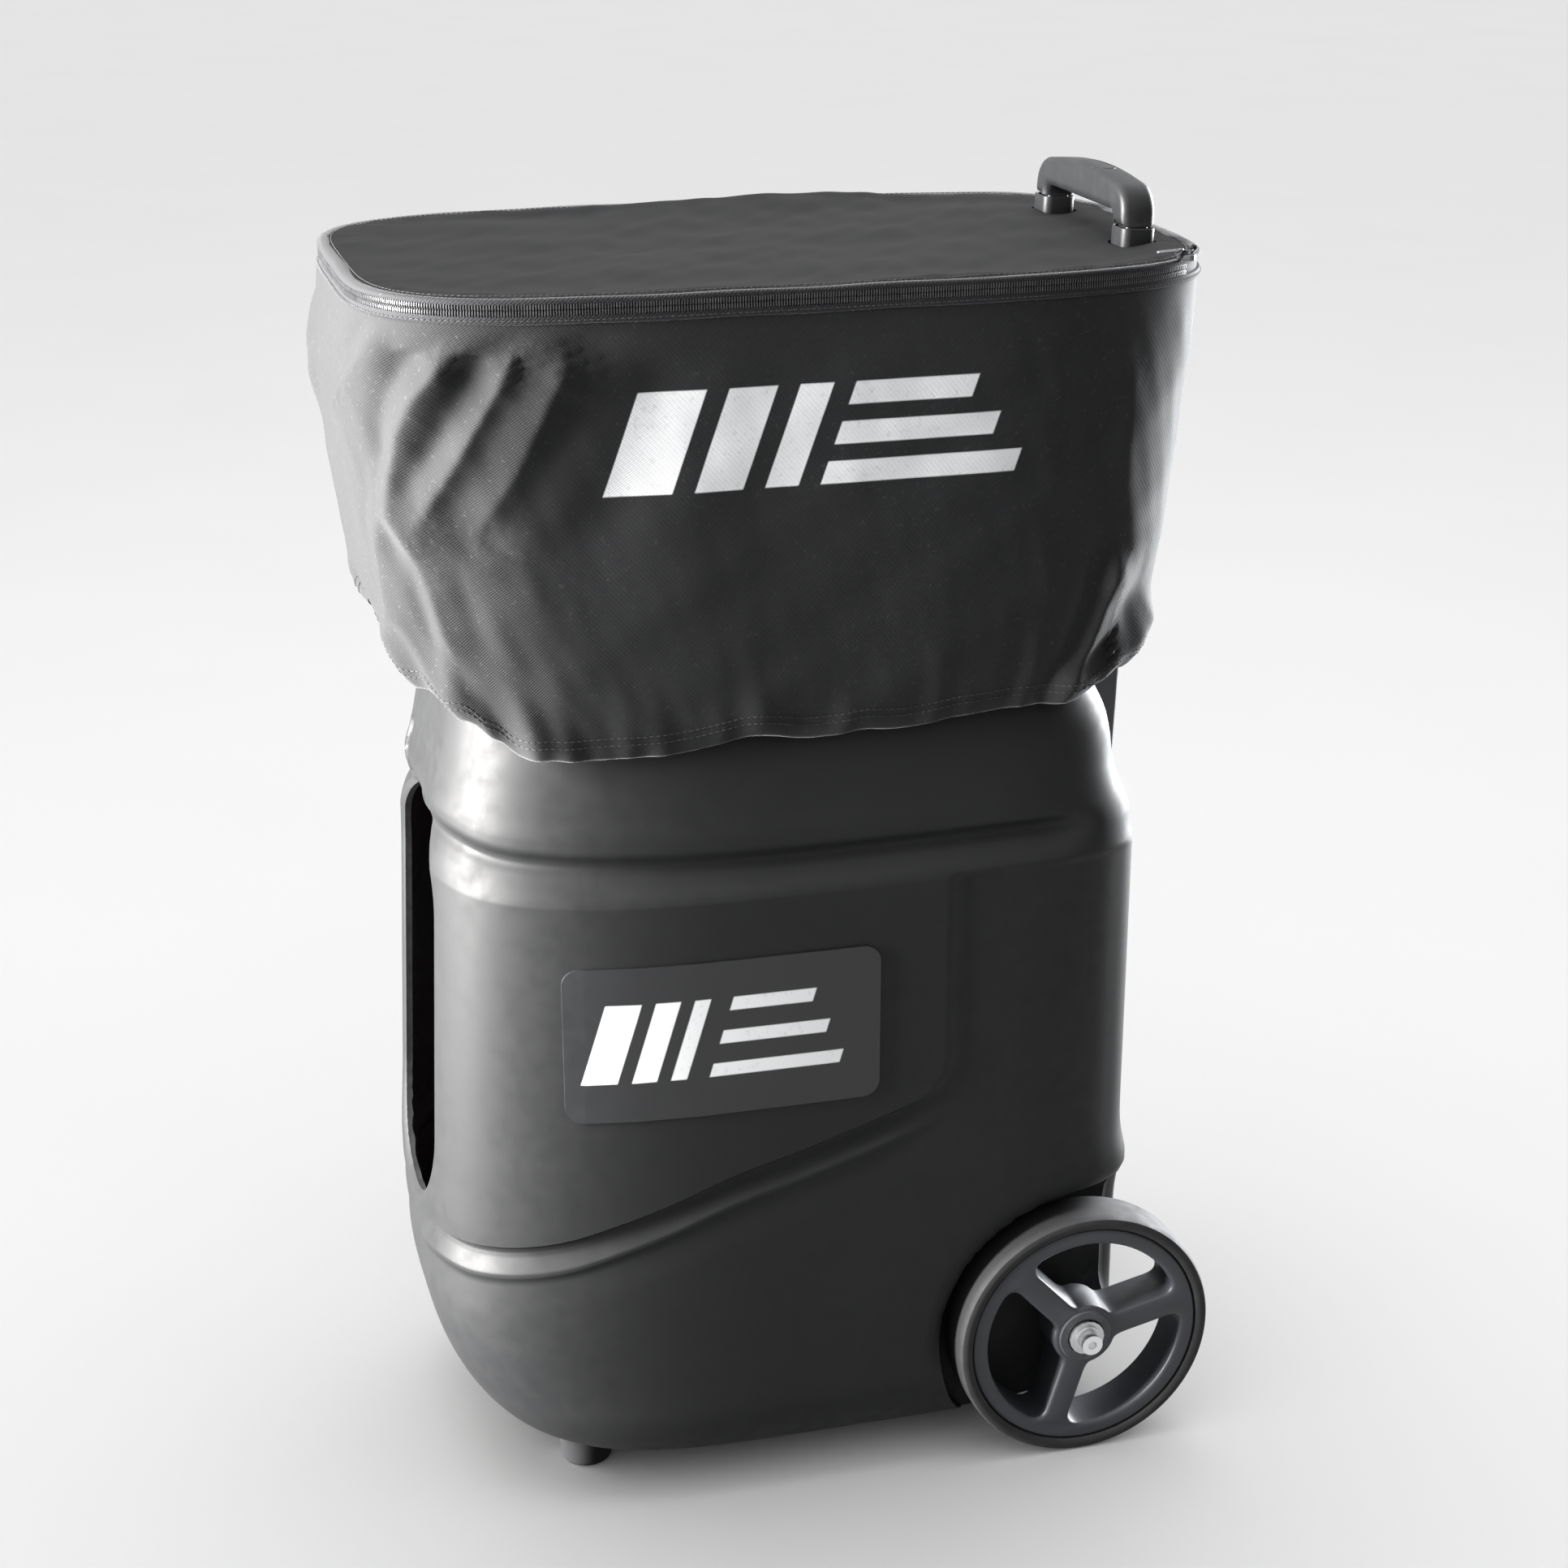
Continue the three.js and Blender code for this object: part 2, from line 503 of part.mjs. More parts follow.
function makeWheels() {
  const centre = [WHEEL.x, WHEEL.r];
  const angles = SPOKES.map((a) => (a * Math.PI) / 180);
  for (const [side, word] of [[-1, "left"], [1, "right"]]) {
    const [y0, y1] = span(side, WHEEL.inner + 1, WHEEL.outer - 1);
    let rim = rod("y", RIM_R, y0, y1, [0, 0], 40);
    angles.forEach((from, i) => {
      const to = i < 2 ? angles[i + 1] : angles[0] + 2 * Math.PI;
      const points = dropRepeats(wheelWindow(from, to).getPoints(4));
      rim = cut(rim, extrudeAlongY(new THREE.Shape(points), -160, 160));
    });
    const hub = rod("y", HUB_R, ...span(side, WHEEL.inner - 2, WHEEL.outer), [0, 0]);
    rim = cut(join(rim, hub), rod("y", 11.4, -160, 160, [0, 0]));
    add(`wheel_rim_${word}`, rim.translate([WHEEL.x, 0, WHEEL.r]), wheelPlastic);
    const [inR, outR] = [RIM_R + GAP, WHEEL.r];
    const half = (WHEEL.outer - WHEEL.inner) / 2;
    const ring = [[inR, -half + 1], [outR - 4, -half], [outR, -half + 4], [outR, half - 4], [outR - 4, half],
      [inR, half - 1], [inR, -half + 1]];
    const tyre = new THREE.LatheGeometry(ring.map(([x, y]) => new THREE.Vector2(x, y)), 40);
    tyre.translate(WHEEL.x, side * (WHEEL.inner + half), WHEEL.r);
    add(`tyre_${word}`, solid(tyre), rubber);
    const bearing = pipe("y", 11, 6.4, ...span(side, WHEEL.inner - 2, WHEEL.outer), centre);
    add(`wheel_bearing_${word}`, bearing, steel);
    const washer = join(rod("y", 11, ...span(side, WHEEL.outer + GAP, 150), centre),
      rod("y", 8.5, ...span(side, 149.5, 151.5), centre));
    add(`axle_washer_${word}`, cut(washer, rod("y", 3.8, -160, 160, centre)), chrome);
    const shank = rod("y", 3, ...span(side, 136, 152), centre, 12);
    const head = join(rod("y", 6.5, ...span(side, 151.5 + GAP, 159), centre), shank);
    add(`axle_screw_${word}`, cut(head, rod("y", 3, ...span(side, 155, 165), centre, 6)), chrome);
  }
  const threads = bothSides((side) => rod("y", 3.4, ...span(side, 134, 160), centre));
  const axle = cut(rod("y", 6, -147.5, 147.5, centre), threads);
  add("axle_rod", axle, steel);
}

// ---- trolley handle, drawn in its own leaning frame with Z along the tubes ----
function squareTube([width, depth], y, z0, z1) {
  const wall = TUBES.wall;
  const bar = box(-width / 2, width / 2, y - depth / 2, y + depth / 2, z0, z1);
  const [halfW, halfD] = [width / 2 - wall, depth / 2 - wall];
  const bore = box(-halfW, halfW, y - halfD, y + halfD, z0 - 1, z1 + 1);
  return cut(bar, bore);
}

function makeHandle() {
  for (const [side, word] of [[-1, "left"], [1, "right"]]) {
    const y = side * HANDLE.y;
    add(`handle_outer_tube_${word}`, squareTube(TUBES.outer, y, -480, -4), tubeMetal, handleGroup);
    add(`handle_middle_tube_${word}`, squareTube(TUBES.mid, y, -470, -1), tubeMetal, handleGroup);
    add(`handle_inner_tube_${word}`, squareTube(TUBES.inner, y, -460, 10.7), tubeMetal, handleGroup);
  }
  const clamp = (z) => {
    const block = box(-13.5, 7, -HANDLE.y - 14, HANDLE.y + 14, z, z + 16);
    return cut(block, ...[-1, 1].map((side) => (
      box(-10.2, 10.2, side * HANDLE.y - 10.6, side * HANDLE.y + 10.6, z - 1, z + 17))));
  };
  add("tube_clamp_lower", clamp(-470), innerPlastic, handleGroup);
  add("tube_clamp_upper", clamp(-400), innerPlastic, handleGroup);
  makeGrip();
}

function makeGrip() {
  const grip = new THREE.Shape();
  const [half, leg, top, under, foot] = [HANDLE.gripHalf, 16, HANDLE.top, HANDLE.top - 16, 11];
  grip.moveTo(-half, foot);
  grip.lineTo(-half + leg, foot);
  grip.absarc(-half + leg + 5, under - 5, 5, Math.PI, Math.PI / 2, true);
  grip.absarc(half - leg - 5, under - 5, 5, Math.PI / 2, 0, true);
  grip.lineTo(half - leg, foot);
  grip.lineTo(half, foot);
  grip.absarc(half - 12, top - 12, 12, 0, Math.PI / 2, false);
  grip.absarc(-half + 12, top - 12, 12, Math.PI / 2, Math.PI, false);
  const points = dropRepeats(grip.getPoints(4));
  const bar = extrudeAlongX(new THREE.Shape(points), -10, 10);
  const well = extrudeAlongZ(roundedRect(0, 0, 12.8, 42.8, 6), top - 7, top + 5);
  add("handle_grip", cut(bar, well), gripPlastic, handleGroup);
  const button = extrudeAlongZ(roundedRect(0, 0, 12, 42, 5.6), top - 3.6, top + 0.6);
  add("release_button", button, gripPlastic, handleGroup);
}

// ---- soft cover ----
const SKIRT = [ // height, front, side, rear of the cover's outside
  [COVER.hemZ, 202, 129.5, 207], [490, 209, 133, 208], [513, 218.5, 138, 212],
  [548, 232, 142.5, 219], [614, 241, 146.5, 227], [669, 244.5, 147.5, 232], [COVER.zipZ, 240, 148, 234],
];

function coverLevels(inset) {
  return SKIRT.map(([z, front, half, rear]) => (
    { z, front: front - inset, half: half - inset, rear: rear - inset, frontSharp: 4.3, rearSharp: 4.3 }));
}

function rimLevel(inset, z) {
  return { z, front: RIM.front - inset, half: RIM.half - inset, rear: RIM.rear - inset,
    frontSharp: 4.3, rearSharp: 4.3 };
}

function ringBand(outer, inner, z0, z1) {
  const hole = loft([rimLevel(inner, z0 - 1), rimLevel(inner, z1 + 1)]);
  return cut(loft([rimLevel(outer, z0), rimLevel(outer, z1)]), hole);
}

function makeCover() {
  const levels = coverLevels(COVER.thick);
  levels[0].z -= 1;
  levels[levels.length - 1].z += 1;
  add("hopper_cover", cut(loft(coverLevels(0)), loft(levels)), fabric);
  const zipTop = COVER.zipZ + GAP + COVER.zipHeight;
  const band = ringBand(0, 2, COVER.zipZ + GAP, zipTop);
  add("zipper_band", cut(band, box(205, 300, -110, 110, 700, 760)), zipperTape);
  add("zipper_slider", box(207, 215, -128, -121, zipTop + GAP, zipTop + 4.5), steel);
  const top = loft([rimLevel(LID.inset, LID.z), rimLevel(LID.inset, LID.z + LID.thick)]);
  const lid = top.intersect(box(-300, LID.hingeX - 1.7, -200, 200, 700, 760));
  add("cover_lid", lid, fabric);
  const handleGap = box(HANDLE.x - 18, HANDLE.x + 16, -78, 78, 700, 760);
  const flap = top.intersect(box(LID.hingeX + 1.7, 300, -200, 200, 700, 760));
  add("cover_rear_flap", cut(flap, handleGap), fabric);
}

makeBodyShell();
makeBase();
makeLabels();
makeHopperTub();
makeFeeder();
makeYoke();
makeLauncherFrame();
makeBallTray();
makeThrowers();
makeElectrics();
makePanel();
makeControls();
makeWheels();
makeHandle();
makeCover();

export default machine;
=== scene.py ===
import json
import math

import bpy
import numpy as np
from mathutils import Matrix, Vector


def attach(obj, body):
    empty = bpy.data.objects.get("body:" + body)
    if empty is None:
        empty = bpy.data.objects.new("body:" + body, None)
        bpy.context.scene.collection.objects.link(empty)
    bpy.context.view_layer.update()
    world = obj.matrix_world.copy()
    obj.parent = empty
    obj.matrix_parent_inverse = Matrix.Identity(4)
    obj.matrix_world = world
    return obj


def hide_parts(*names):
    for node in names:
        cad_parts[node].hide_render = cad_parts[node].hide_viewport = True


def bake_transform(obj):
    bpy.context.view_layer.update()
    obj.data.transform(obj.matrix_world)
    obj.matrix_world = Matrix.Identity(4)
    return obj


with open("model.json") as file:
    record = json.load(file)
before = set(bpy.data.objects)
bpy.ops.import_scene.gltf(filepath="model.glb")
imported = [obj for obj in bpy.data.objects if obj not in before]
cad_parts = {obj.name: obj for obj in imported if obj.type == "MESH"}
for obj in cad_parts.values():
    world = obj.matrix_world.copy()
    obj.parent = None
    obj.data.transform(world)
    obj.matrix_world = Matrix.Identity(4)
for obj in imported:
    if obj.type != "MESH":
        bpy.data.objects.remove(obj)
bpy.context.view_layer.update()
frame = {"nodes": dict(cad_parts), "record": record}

# A tennis ball machine. Lengths are in millimetres until a mesh is made, which is in metres.
# +Z is up, -X is the front, and -Y is the machine's left side.
MM = 0.001
WALL = 3.5  # the moulded shells
GAP = 0.3

# ---- the moulded body ----
BODY = dict(half=140, front=220, lean=9, rear=203, top=484, bottom=14)
LEAN_FROM, SHOULDER = 180, 392
SIDE_ROUND, NOSE_ROUND, TAIL_ROUND = 48, (92, 112), 56
# height, then how far the front, the grooved side, the smooth rear of the side and the rear step in
NECK = [(388, 0, 0, 0, 0), (391, 0.6, 1.0, 0.3, 0.5), (403, 5.5, 8.6, 2.4, 1.8), (408, 8.0, 12.2, 3.2, 2.4),
        (411, 7.6, 11.6, 3.8, 3.2), (417, 4.6, 7.2, 5.2, 5.4), (423, 4.2, 6.9, 6.8, 8.0),
        (436, 7, 9.5, 9.5, 12), (450, 9.7, 11.9, 11.9, 13.5), (462, 12, 14, 14, 16), (484, 17, 22, 22, 26)]
BODY_SHARP = (3.4, 6.5)
SLOT_HALF, SLOT_LOW, SLOT_HIGH = 58.5, 224.5, 361.5  # half width, and its end circles' heights
WHEEL_X, WHEEL_Z, ARCH_R, WELL_Y = 164.5, 80, 90, 107
PANEL_EDGE_X, PANEL_TOP, PANEL_ROUND = 77, 388, 18  # the raised side panel
# the raised panel's lower edge: degrees round from the front, height
WAVE = [(0, 158), (8, 162), (16, 168.6), (26, 171.6), (34, 176), (41, 182), (48, 191), (57, 202),
        (67, 214), (87, 229), (106, 244), (119, 256), (180, 256)]
WAVE_REST = 190
GROOVE_RISE = [(0, 8), (10, 6), (21, 4.5), (28, 1.2), (36, 0), (180, 0)]
NOSE_PLATE = dict(half=47, low=422, high=451, round=9, depth=2)
FENDER = dict(flare=4.6, at=14, spread=16, lip_front=9, lip_tail=17)

# each foot's X, distance from the middle, radius, low and high ends
FEET = {"front_foot": (-130, 70.5, 17, 0, 30), "rear_foot": (129.5, 66, 13, 1.5, 28)}

# ---- the hopper and its soft cover ----
HOPPER = [(487, 194, 122, 172), (496, 204, 127, 197), (513, 209, 131, 204), (548, 222, 137, 211),
          (614, 232, 142, 219), (669, 236, 144, 223), (718, 233, 144.5, 226)]
SKIRT = [(460, 199, 128.5, 205), (468, 202, 129.5, 207), (490, 209, 133, 208), (513, 218.5, 138, 212),
         (548, 232, 142.5, 219), (614, 241, 146.5, 227), (669, 244.5, 147.5, 232), (714, 240, 148, 234)]
SOFT_SHARP = 4.3
RIM = dict(front=238, half=148, rear=234)
ZIP_LOW, ZIP_TOP, LID_Z = 714, 726, 725.2
HINGE_X = 180
# the skirt's hem: degrees round from the front, height
HEM = [(0, 523), (8, 523), (14, 521), (17, 513), (22, 503), (26, 497), (29, 492), (31, 485), (34, 475),
       (40, 472.5), (50, 472), (61, 473.5), (68, 477), (73, 479), (79, 478), (84, 476), (93, 475.5),
       (102, 477.5), (106, 476.5), (113, 476), (122, 480), (134, 482), (142, 483), (147, 491), (153, 497),
       (165, 502), (180, 503)]
# where the hem is tucked up, and where it bulges out above the hem: degrees round, width, size
HEM_TUCKS = [(15, 2.2, 3), (23.5, 2.2, 6), (30, 1.6, 6), (33, 1.2, 4), (145, 3, 5)]
HEM_BULGES = [(19, 2.8, 7), (27, 2.6, 8), (31.8, 1.4, 3), (38, 3.6, 5), (76, 4, 2), (98, 5, 2), (138, 5, 5),
              (149, 4, 5)]
BALL_BOX_REAR = 172

# ---- the trolley handle ----
HANDLE_X, HANDLE_Z, HANDLE_TILT, HANDLE_Y = 199.8, 724, 2.3, 61

# soft swellings of the lid: centre x and y, width and depth, height
LID_BUMPS = [(70, 122, 60, 26, 5.0), (-25, 124, 46, 22, 2.6), (-150, 96, 60, 30, 2.4),
             (150, 118, 30, 26, -2.5), (150, 20, 34, 70, 3.0), (120, -60, 60, 36, 2.2),
             (-60, -70, 90, 40, 1.6), (40, 20, 90, 34, 1.8)]

# folds of the cover: points along the crest, height, width on the front and on the rear flank
FOLDS = [
    ([(-222, -111, 706), (-231, -98, 693), (-239, -80, 677), (-243, -50, 656), (-242, -26, 636)],
     4.6, 8, 19),
    ([(-201, -128, 706), (-198, -129, 696), (-203, -128, 687), (-213, -122, 673), (-220, -115, 655),
      (-223, -110, 632), (-223, -108, 612), (-216, -114, 594), (-209, -116, 573)], 6.4, 8, 15),
    ([(-167, -140, 706), (-165, -141, 696), (-174, -138, 678), (-185, -135, 659), (-198, -129, 635),
      (-210, -121, 613), (-215, -115, 597)], 6.2, 8, 17),
    ([(-139, -145, 705), (-141, -144, 688), (-150, -143, 668), (-166, -139, 635), (-182, -134, 610),
      (-192, -129, 596)], 4.2, 10, 24),
    ([(-231, -100, 643), (-230, -98, 617), (-230, -89, 588), (-226, -87, 554), (-219, -53, 518)],
     3.2, 9, 14),
    ([(-214, -115, 590), (-208, -117, 566), (-203, -118, 545), (-198, -117, 520)], 2.8, 5, 9),
    ([(138, -126, 478), (146, -128, 498), (153, -129, 512), (163, -130, 545), (170, -133, 580)],
     4.6, 6, 13),
    ([(146, -127, 485), (163, -123, 497), (180, -114, 508), (198, -101, 519), (212, -78, 531)],
     4.8, 6, 12),
    ([(160, -130, 540), (178, -128, 570), (170, -134, 606), (172, -138, 680)], 2.6, 12, 22),
]


# ---- small maths ----
def ease(x, low, high):
    """0 below low, 1 above high, and smooth between."""
    s = np.clip((np.asarray(x, float) - low) / (high - low), 0, 1)
    return s * s * (3 - 2 * s)


def follow(x, table):
    """A smooth curve through a table of (x, value)."""
    xs, ys = (np.array(c, float) for c in zip(*table))
    slopes = np.gradient(ys, xs)
    x = np.clip(x, xs[0], xs[-1])
    k = np.clip(np.searchsorted(xs, x, side="right") - 1, 0, len(xs) - 2)
    h = xs[k + 1] - xs[k]
    s = (x - xs[k]) / h
    return ((2 * s**3 - 3 * s**2 + 1) * ys[k] + (s**3 - 2 * s**2 + s) * h * slopes[k]
            + (3 * s**2 - 2 * s**3) * ys[k + 1] + (s**3 - s**2) * h * slopes[k + 1])


def ripple(u, v, seed, count, shortest, longest):
    """A sum of waves with seeded directions and phases, about -1 to 1."""
    random = np.random.default_rng(seed)
    total = np.zeros(np.broadcast(u, v).shape)
    for _ in range(count):
        turn, phase = random.uniform(0, math.pi), random.uniform(0, 2 * math.pi)
        length = random.uniform(shortest, longest)
        total += np.sin(2 * math.pi / length * (u * math.cos(turn) + v * math.sin(turn)) + phase)
    return total / math.sqrt(count) / 1.4


def round_from_front(x, y):
    """Degrees round from the front, 0 to 180 on either side."""
    return np.degrees(np.arctan2(np.abs(y), -x))


def superellipse(t, front, rear, half, sharp):
    """A soft-cornered outline; sharp is for the front and the rear half."""
    c, s = np.cos(t), np.sin(t)
    power = np.where(c < 0, 2 / sharp[0], 2 / sharp[1])
    x = np.abs(c) ** power * np.where(c < 0, -front, rear)
    return x, np.sign(s) * np.abs(s) ** power * half


def spaced_columns(front, rear, half, sharp, spacing):
    """Angles whose points lie spacing(x) apart along an outline."""
    t = np.linspace(0, 2 * math.pi, 20001)
    x, y = superellipse(t, front, rear, half, sharp)
    step = np.hypot(np.diff(x), np.diff(y)) / spacing((x[1:] + x[:-1]) / 2)
    total = np.concatenate([[0], np.cumsum(step)])
    count = int(total[-1])
    return np.interp(np.arange(count) * total[-1] / count, total, t)


def plan_normals(x, y):
    """Level outward directions of rings that run anticlockwise."""
    tx, ty = (np.roll(a, -1, -1) - np.roll(a, 1, -1) for a in (x, y))
    length = np.maximum(np.hypot(tx, ty), 1e-9)
    return ty / length, -tx / length


def spread_rows(*spans):
    """Row heights from (start, end, spacing) spans."""
    parts = [np.linspace(a, b, max(2, round((b - a) / step) + 1))[:-1] for a, b, step in spans]
    return np.concatenate([*parts, [spans[-1][1]]])


# ---- meshes ----
def new_object(name, data):
    obj = bpy.data.objects.new(name, data)
    bpy.context.scene.collection.objects.link(obj)
    return obj


def make(name, points, faces, material=None, sharp=40, uv=None):
    mesh = bpy.data.meshes.new(name)
    mesh.from_pydata((np.asarray(points, float).reshape(-1, 3) * MM).tolist(), [],
                     [list(map(int, f)) for f in faces])
    if uv is not None:
        layer = mesh.uv_layers.new(name="Cloth")
        corner = np.zeros(len(mesh.loops), np.int32)
        mesh.loops.foreach_get("vertex_index", corner)
        layer.data.foreach_set("uv", (np.asarray(uv, float).reshape(-1, 2)[corner] * MM).ravel())
    obj = new_object(name, mesh)
    dress(obj, material, sharp)
    return obj


def dress(obj, material, sharp=40):
    if material:
        obj.data.materials.clear()
        obj.data.materials.append(material)
    obj.data.polygons.foreach_set("use_smooth", [True] * len(obj.data.polygons))
    obj.data.set_sharp_from_angle(angle=math.radians(sharp))


def settle(obj):
    """Applies the modifiers of obj to its mesh."""
    graph = bpy.context.evaluated_depsgraph_get()
    mesh = bpy.data.meshes.new_from_object(obj.evaluated_get(graph))
    obj.modifiers.clear()
    obj.data = mesh


def carve(target, *tools, operation="DIFFERENCE"):
    for tool in tools:
        cut = target.modifiers.new("cut", "BOOLEAN")
        cut.object, cut.operation, cut.solver = tool, operation, "MANIFOLD"
    settle(target)
    for tool in tools:
        bpy.data.objects.remove(tool)
    return target


def grid_faces(rows, cols, wrap=True):
    i, j = np.meshgrid(np.arange(rows - 1), np.arange(cols if wrap else cols - 1), indexing="ij")
    k = (j + 1) % cols
    return np.stack([i * cols + j, i * cols + k, (i + 1) * cols + k, (i + 1) * cols + j], -1).reshape(-1, 4)


def stack(name, rings, material=None, sharp=40):
    """A closed solid through rings stacked from low to high."""
    rows, cols = rings.shape[:2]
    faces = grid_faces(rows, cols).tolist()
    faces.append(list(range(cols))[::-1])
    faces.append([(rows - 1) * cols + j for j in range(cols)])
    return make(name, rings, faces, material, sharp)


def block(x0, x1, y0, y1, z0, z1, name="tool"):
    corners = np.array([[[x0, y0, z], [x1, y0, z], [x1, y1, z], [x0, y1, z]] for z in (z0, z1)], float)
    return stack(name, corners)


def turn_to(axis, centre):
    """Lays a shape drawn about Z along another axis, at a centre."""
    spin = {"z": Matrix.Identity(4), "x": Matrix.Rotation(math.pi / 2, 4, "Y"),
            "y": Matrix.Rotation(-math.pi / 2, 4, "X")}[axis]
    return Matrix.Translation(Vector(centre) * MM) @ spin


def lathe(name, profile, axis, centre, material=None, sides=64, sharp=35):
    """A turned solid. The profile is (radius, distance along the axis) from one end to the other."""
    a = np.linspace(0, 2 * math.pi, sides, endpoint=False)
    rings = np.array([[(r * math.cos(v), r * math.sin(v), h) for v in a] for r, h in profile])
    obj = stack(name, rings, material, sharp)
    obj.data.transform(turn_to(axis, centre))
    return obj


def lathe_ring(name, profile, axis, centre, material=None, sides=96, sharp=35):
    """A turned ring round a closed profile of (radius, distance along the axis)."""
    a = np.linspace(0, 2 * math.pi, sides, endpoint=False)
    rings = np.array([[(r * math.cos(v), r * math.sin(v), h) for v in a] for r, h in [*profile, profile[0]]])
    rows = len(profile)
    faces = [[k % (rows * sides) for k in f] for f in grid_faces(rows + 1, sides)]
    obj = make(name, rings[:-1], faces, material, sharp)
    obj.data.transform(turn_to(axis, centre))
    return obj


def plate(name, outlines, low, high, bevel, matrix, material=None, sharp=35):
    """A flat shape with holes, with rounded edges, drawn on X and Y and raised from low to high."""
    curve = bpy.data.curves.new(name, "CURVE")
    curve.dimensions, curve.fill_mode = "2D", "BOTH"
    curve.extrude, curve.bevel_depth = ((high - low) / 2 - bevel) * MM, bevel * MM
    curve.bevel_resolution, curve.offset = 3, -bevel * MM
    for points in outlines:
        spline = curve.splines.new("POLY")
        spline.points.add(len(points) - 1)
        spline.points.foreach_set("co", [v for x, y in points for v in (x * MM, y * MM, 0, 1)])
        spline.use_cyclic_u = True
    drawn = new_object(name + "_drawn", curve)
    graph = bpy.context.evaluated_depsgraph_get()
    mesh = bpy.data.meshes.new_from_object(drawn.evaluated_get(graph))
    bpy.data.objects.remove(drawn)
    mesh.transform(matrix @ Matrix.Translation((0, 0, (low + high) / 2 * MM)))
    obj = new_object(name, mesh)
    weld = obj.modifiers.new("weld", "WELD")
    weld.merge_threshold = 0.00001
    settle(obj)
    dress(obj, material, sharp)
    return obj


def round_rect(width, height, r, centre=(0, 0), steps=8):
    points = []
    for k, (sx, sy) in enumerate([(1, 1), (-1, 1), (-1, -1), (1, -1)]):
        for a in np.linspace(k * math.pi / 2, (k + 1) * math.pi / 2, steps):
            points.append((centre[0] + sx * (width / 2 - r) + r * math.cos(a),
                           centre[1] + sy * (height / 2 - r) + r * math.sin(a)))
    return points


def walk(points, spacing, closed=False):
    """Places and directions at equal distances along a line of points."""
    p = np.asarray(points, float)
    if closed:
        p = np.vstack([p, p[:1]])
    far = np.concatenate([[0], np.cumsum(np.linalg.norm(np.diff(p, axis=0), axis=1))])
    at = (np.arange(int(far[-1] / spacing)) + 0.5) * spacing
    where = np.stack([np.interp(at, far, p[:, k]) for k in range(3)], -1)
    ahead = np.stack([np.interp(at + 0.5, far, p[:, k]) for k in range(3)], -1)
    behind = np.stack([np.interp(at - 0.5, far, p[:, k]) for k in range(3)], -1)
    along = ahead - behind
    return where, along / np.maximum(np.linalg.norm(along, axis=1, keepdims=True), 1e-9)


def copies(name, where, along, outward, size, material):
    """Small rounded blocks: size is half length along, half width across and half height outward."""
    across = np.cross(outward, along)
    across /= np.linalg.norm(across, axis=1, keepdims=True)
    ring = [(-1, 0.55), (-0.7, 1), (0.7, 1), (1, 0.55)]
    a = np.linspace(0, 2 * math.pi, 6, endpoint=False)
    shape = np.array([(l * size[0], w * size[1] * math.cos(v), w * size[2] * math.sin(v))
                      for l, w in ring for v in a])
    faces = [f for f in grid_faces(4, 6).tolist()] + [list(range(6))[::-1], list(range(18, 24))]
    points = (where[:, None] + shape[None, :, :1] * along[:, None] + shape[None, :, 1:2] * across[:, None]
              + shape[None, :, 2:] * outward[:, None])
    every = (np.array([f for f in faces if len(f) == 4])[None] + 24 * np.arange(len(where))[:, None, None])
    ends = (np.array([f for f in faces if len(f) == 6])[None] + 24 * np.arange(len(where))[:, None, None])
    return make(name, points, every.reshape(-1, 4).tolist() + ends.reshape(-1, 6).tolist(), material, 50)


def sweep(name, lines, material=None, sharp=50, closed=True):
    """A closed tube of lines that run side by side, such as a tape: lines is (profile, along, 3)."""
    rows, cols = lines.shape[:2]
    faces = [[k % (rows * cols) for k in f] for f in grid_faces(rows + 1, cols, closed)]
    if not closed:
        faces.append([r * cols for r in range(rows)])
        faces.append([r * cols + cols - 1 for r in range(rows)][::-1])
    return make(name, lines, faces, material, sharp)


# ---- materials ----
class Nodes:
    """A short way to write a node tree."""

    def __init__(self, owner):
        owner.use_nodes = True
        self.tree = owner.node_tree
        self.material = owner
        self.shader = self.tree.nodes.get("Principled BSDF")

    def add(self, kind, inputs=None, **settings):
        node = self.tree.nodes.new(kind)
        for key, value in settings.items():
            setattr(node, key, value)
        for key, value in (inputs or {}).items():
            self.feed(node.inputs[key], value)
        return node

    def feed(self, socket, value):
        if isinstance(value, bpy.types.NodeSocket):
            self.tree.links.new(value, socket)
        else:
            socket.default_value = value

    def math(self, operation, a, b=0.0, clamp=False):
        node = self.add("ShaderNodeMath", operation=operation, use_clamp=clamp)
        self.feed(node.inputs[0], a)
        self.feed(node.inputs[1], b)
        return node.outputs[0]

    def noise(self, where, scale, detail=3.0, roughness=0.55):
        return self.add("ShaderNodeTexNoise", {"Vector": where, "Scale": scale, "Detail": detail,
                                               "Roughness": roughness}).outputs["Fac"]

    def span(self, value, low, high, out_low, out_high):
        return self.add("ShaderNodeMapRange", {"Value": value, "From Min": low, "From Max": high,
                                               "To Min": out_low, "To Max": out_high}).outputs["Result"]

    def blend(self, share, a, b):
        node = self.add("ShaderNodeMix", data_type="RGBA")
        for index, value in ((0, share), (6, a), (7, b)):
            self.feed(node.inputs[index], value)
        return node.outputs[2]

    def bump(self, height, strength, distance, under=None):
        node = self.add("ShaderNodeBump", {"Height": height, "Strength": strength, "Distance": distance})
        if under is not None:
            self.feed(node.inputs["Normal"], under)
        return node.outputs["Normal"]


def shade(color, factor):
    return tuple(min(1, c * factor) for c in color[:3]) + (1,)


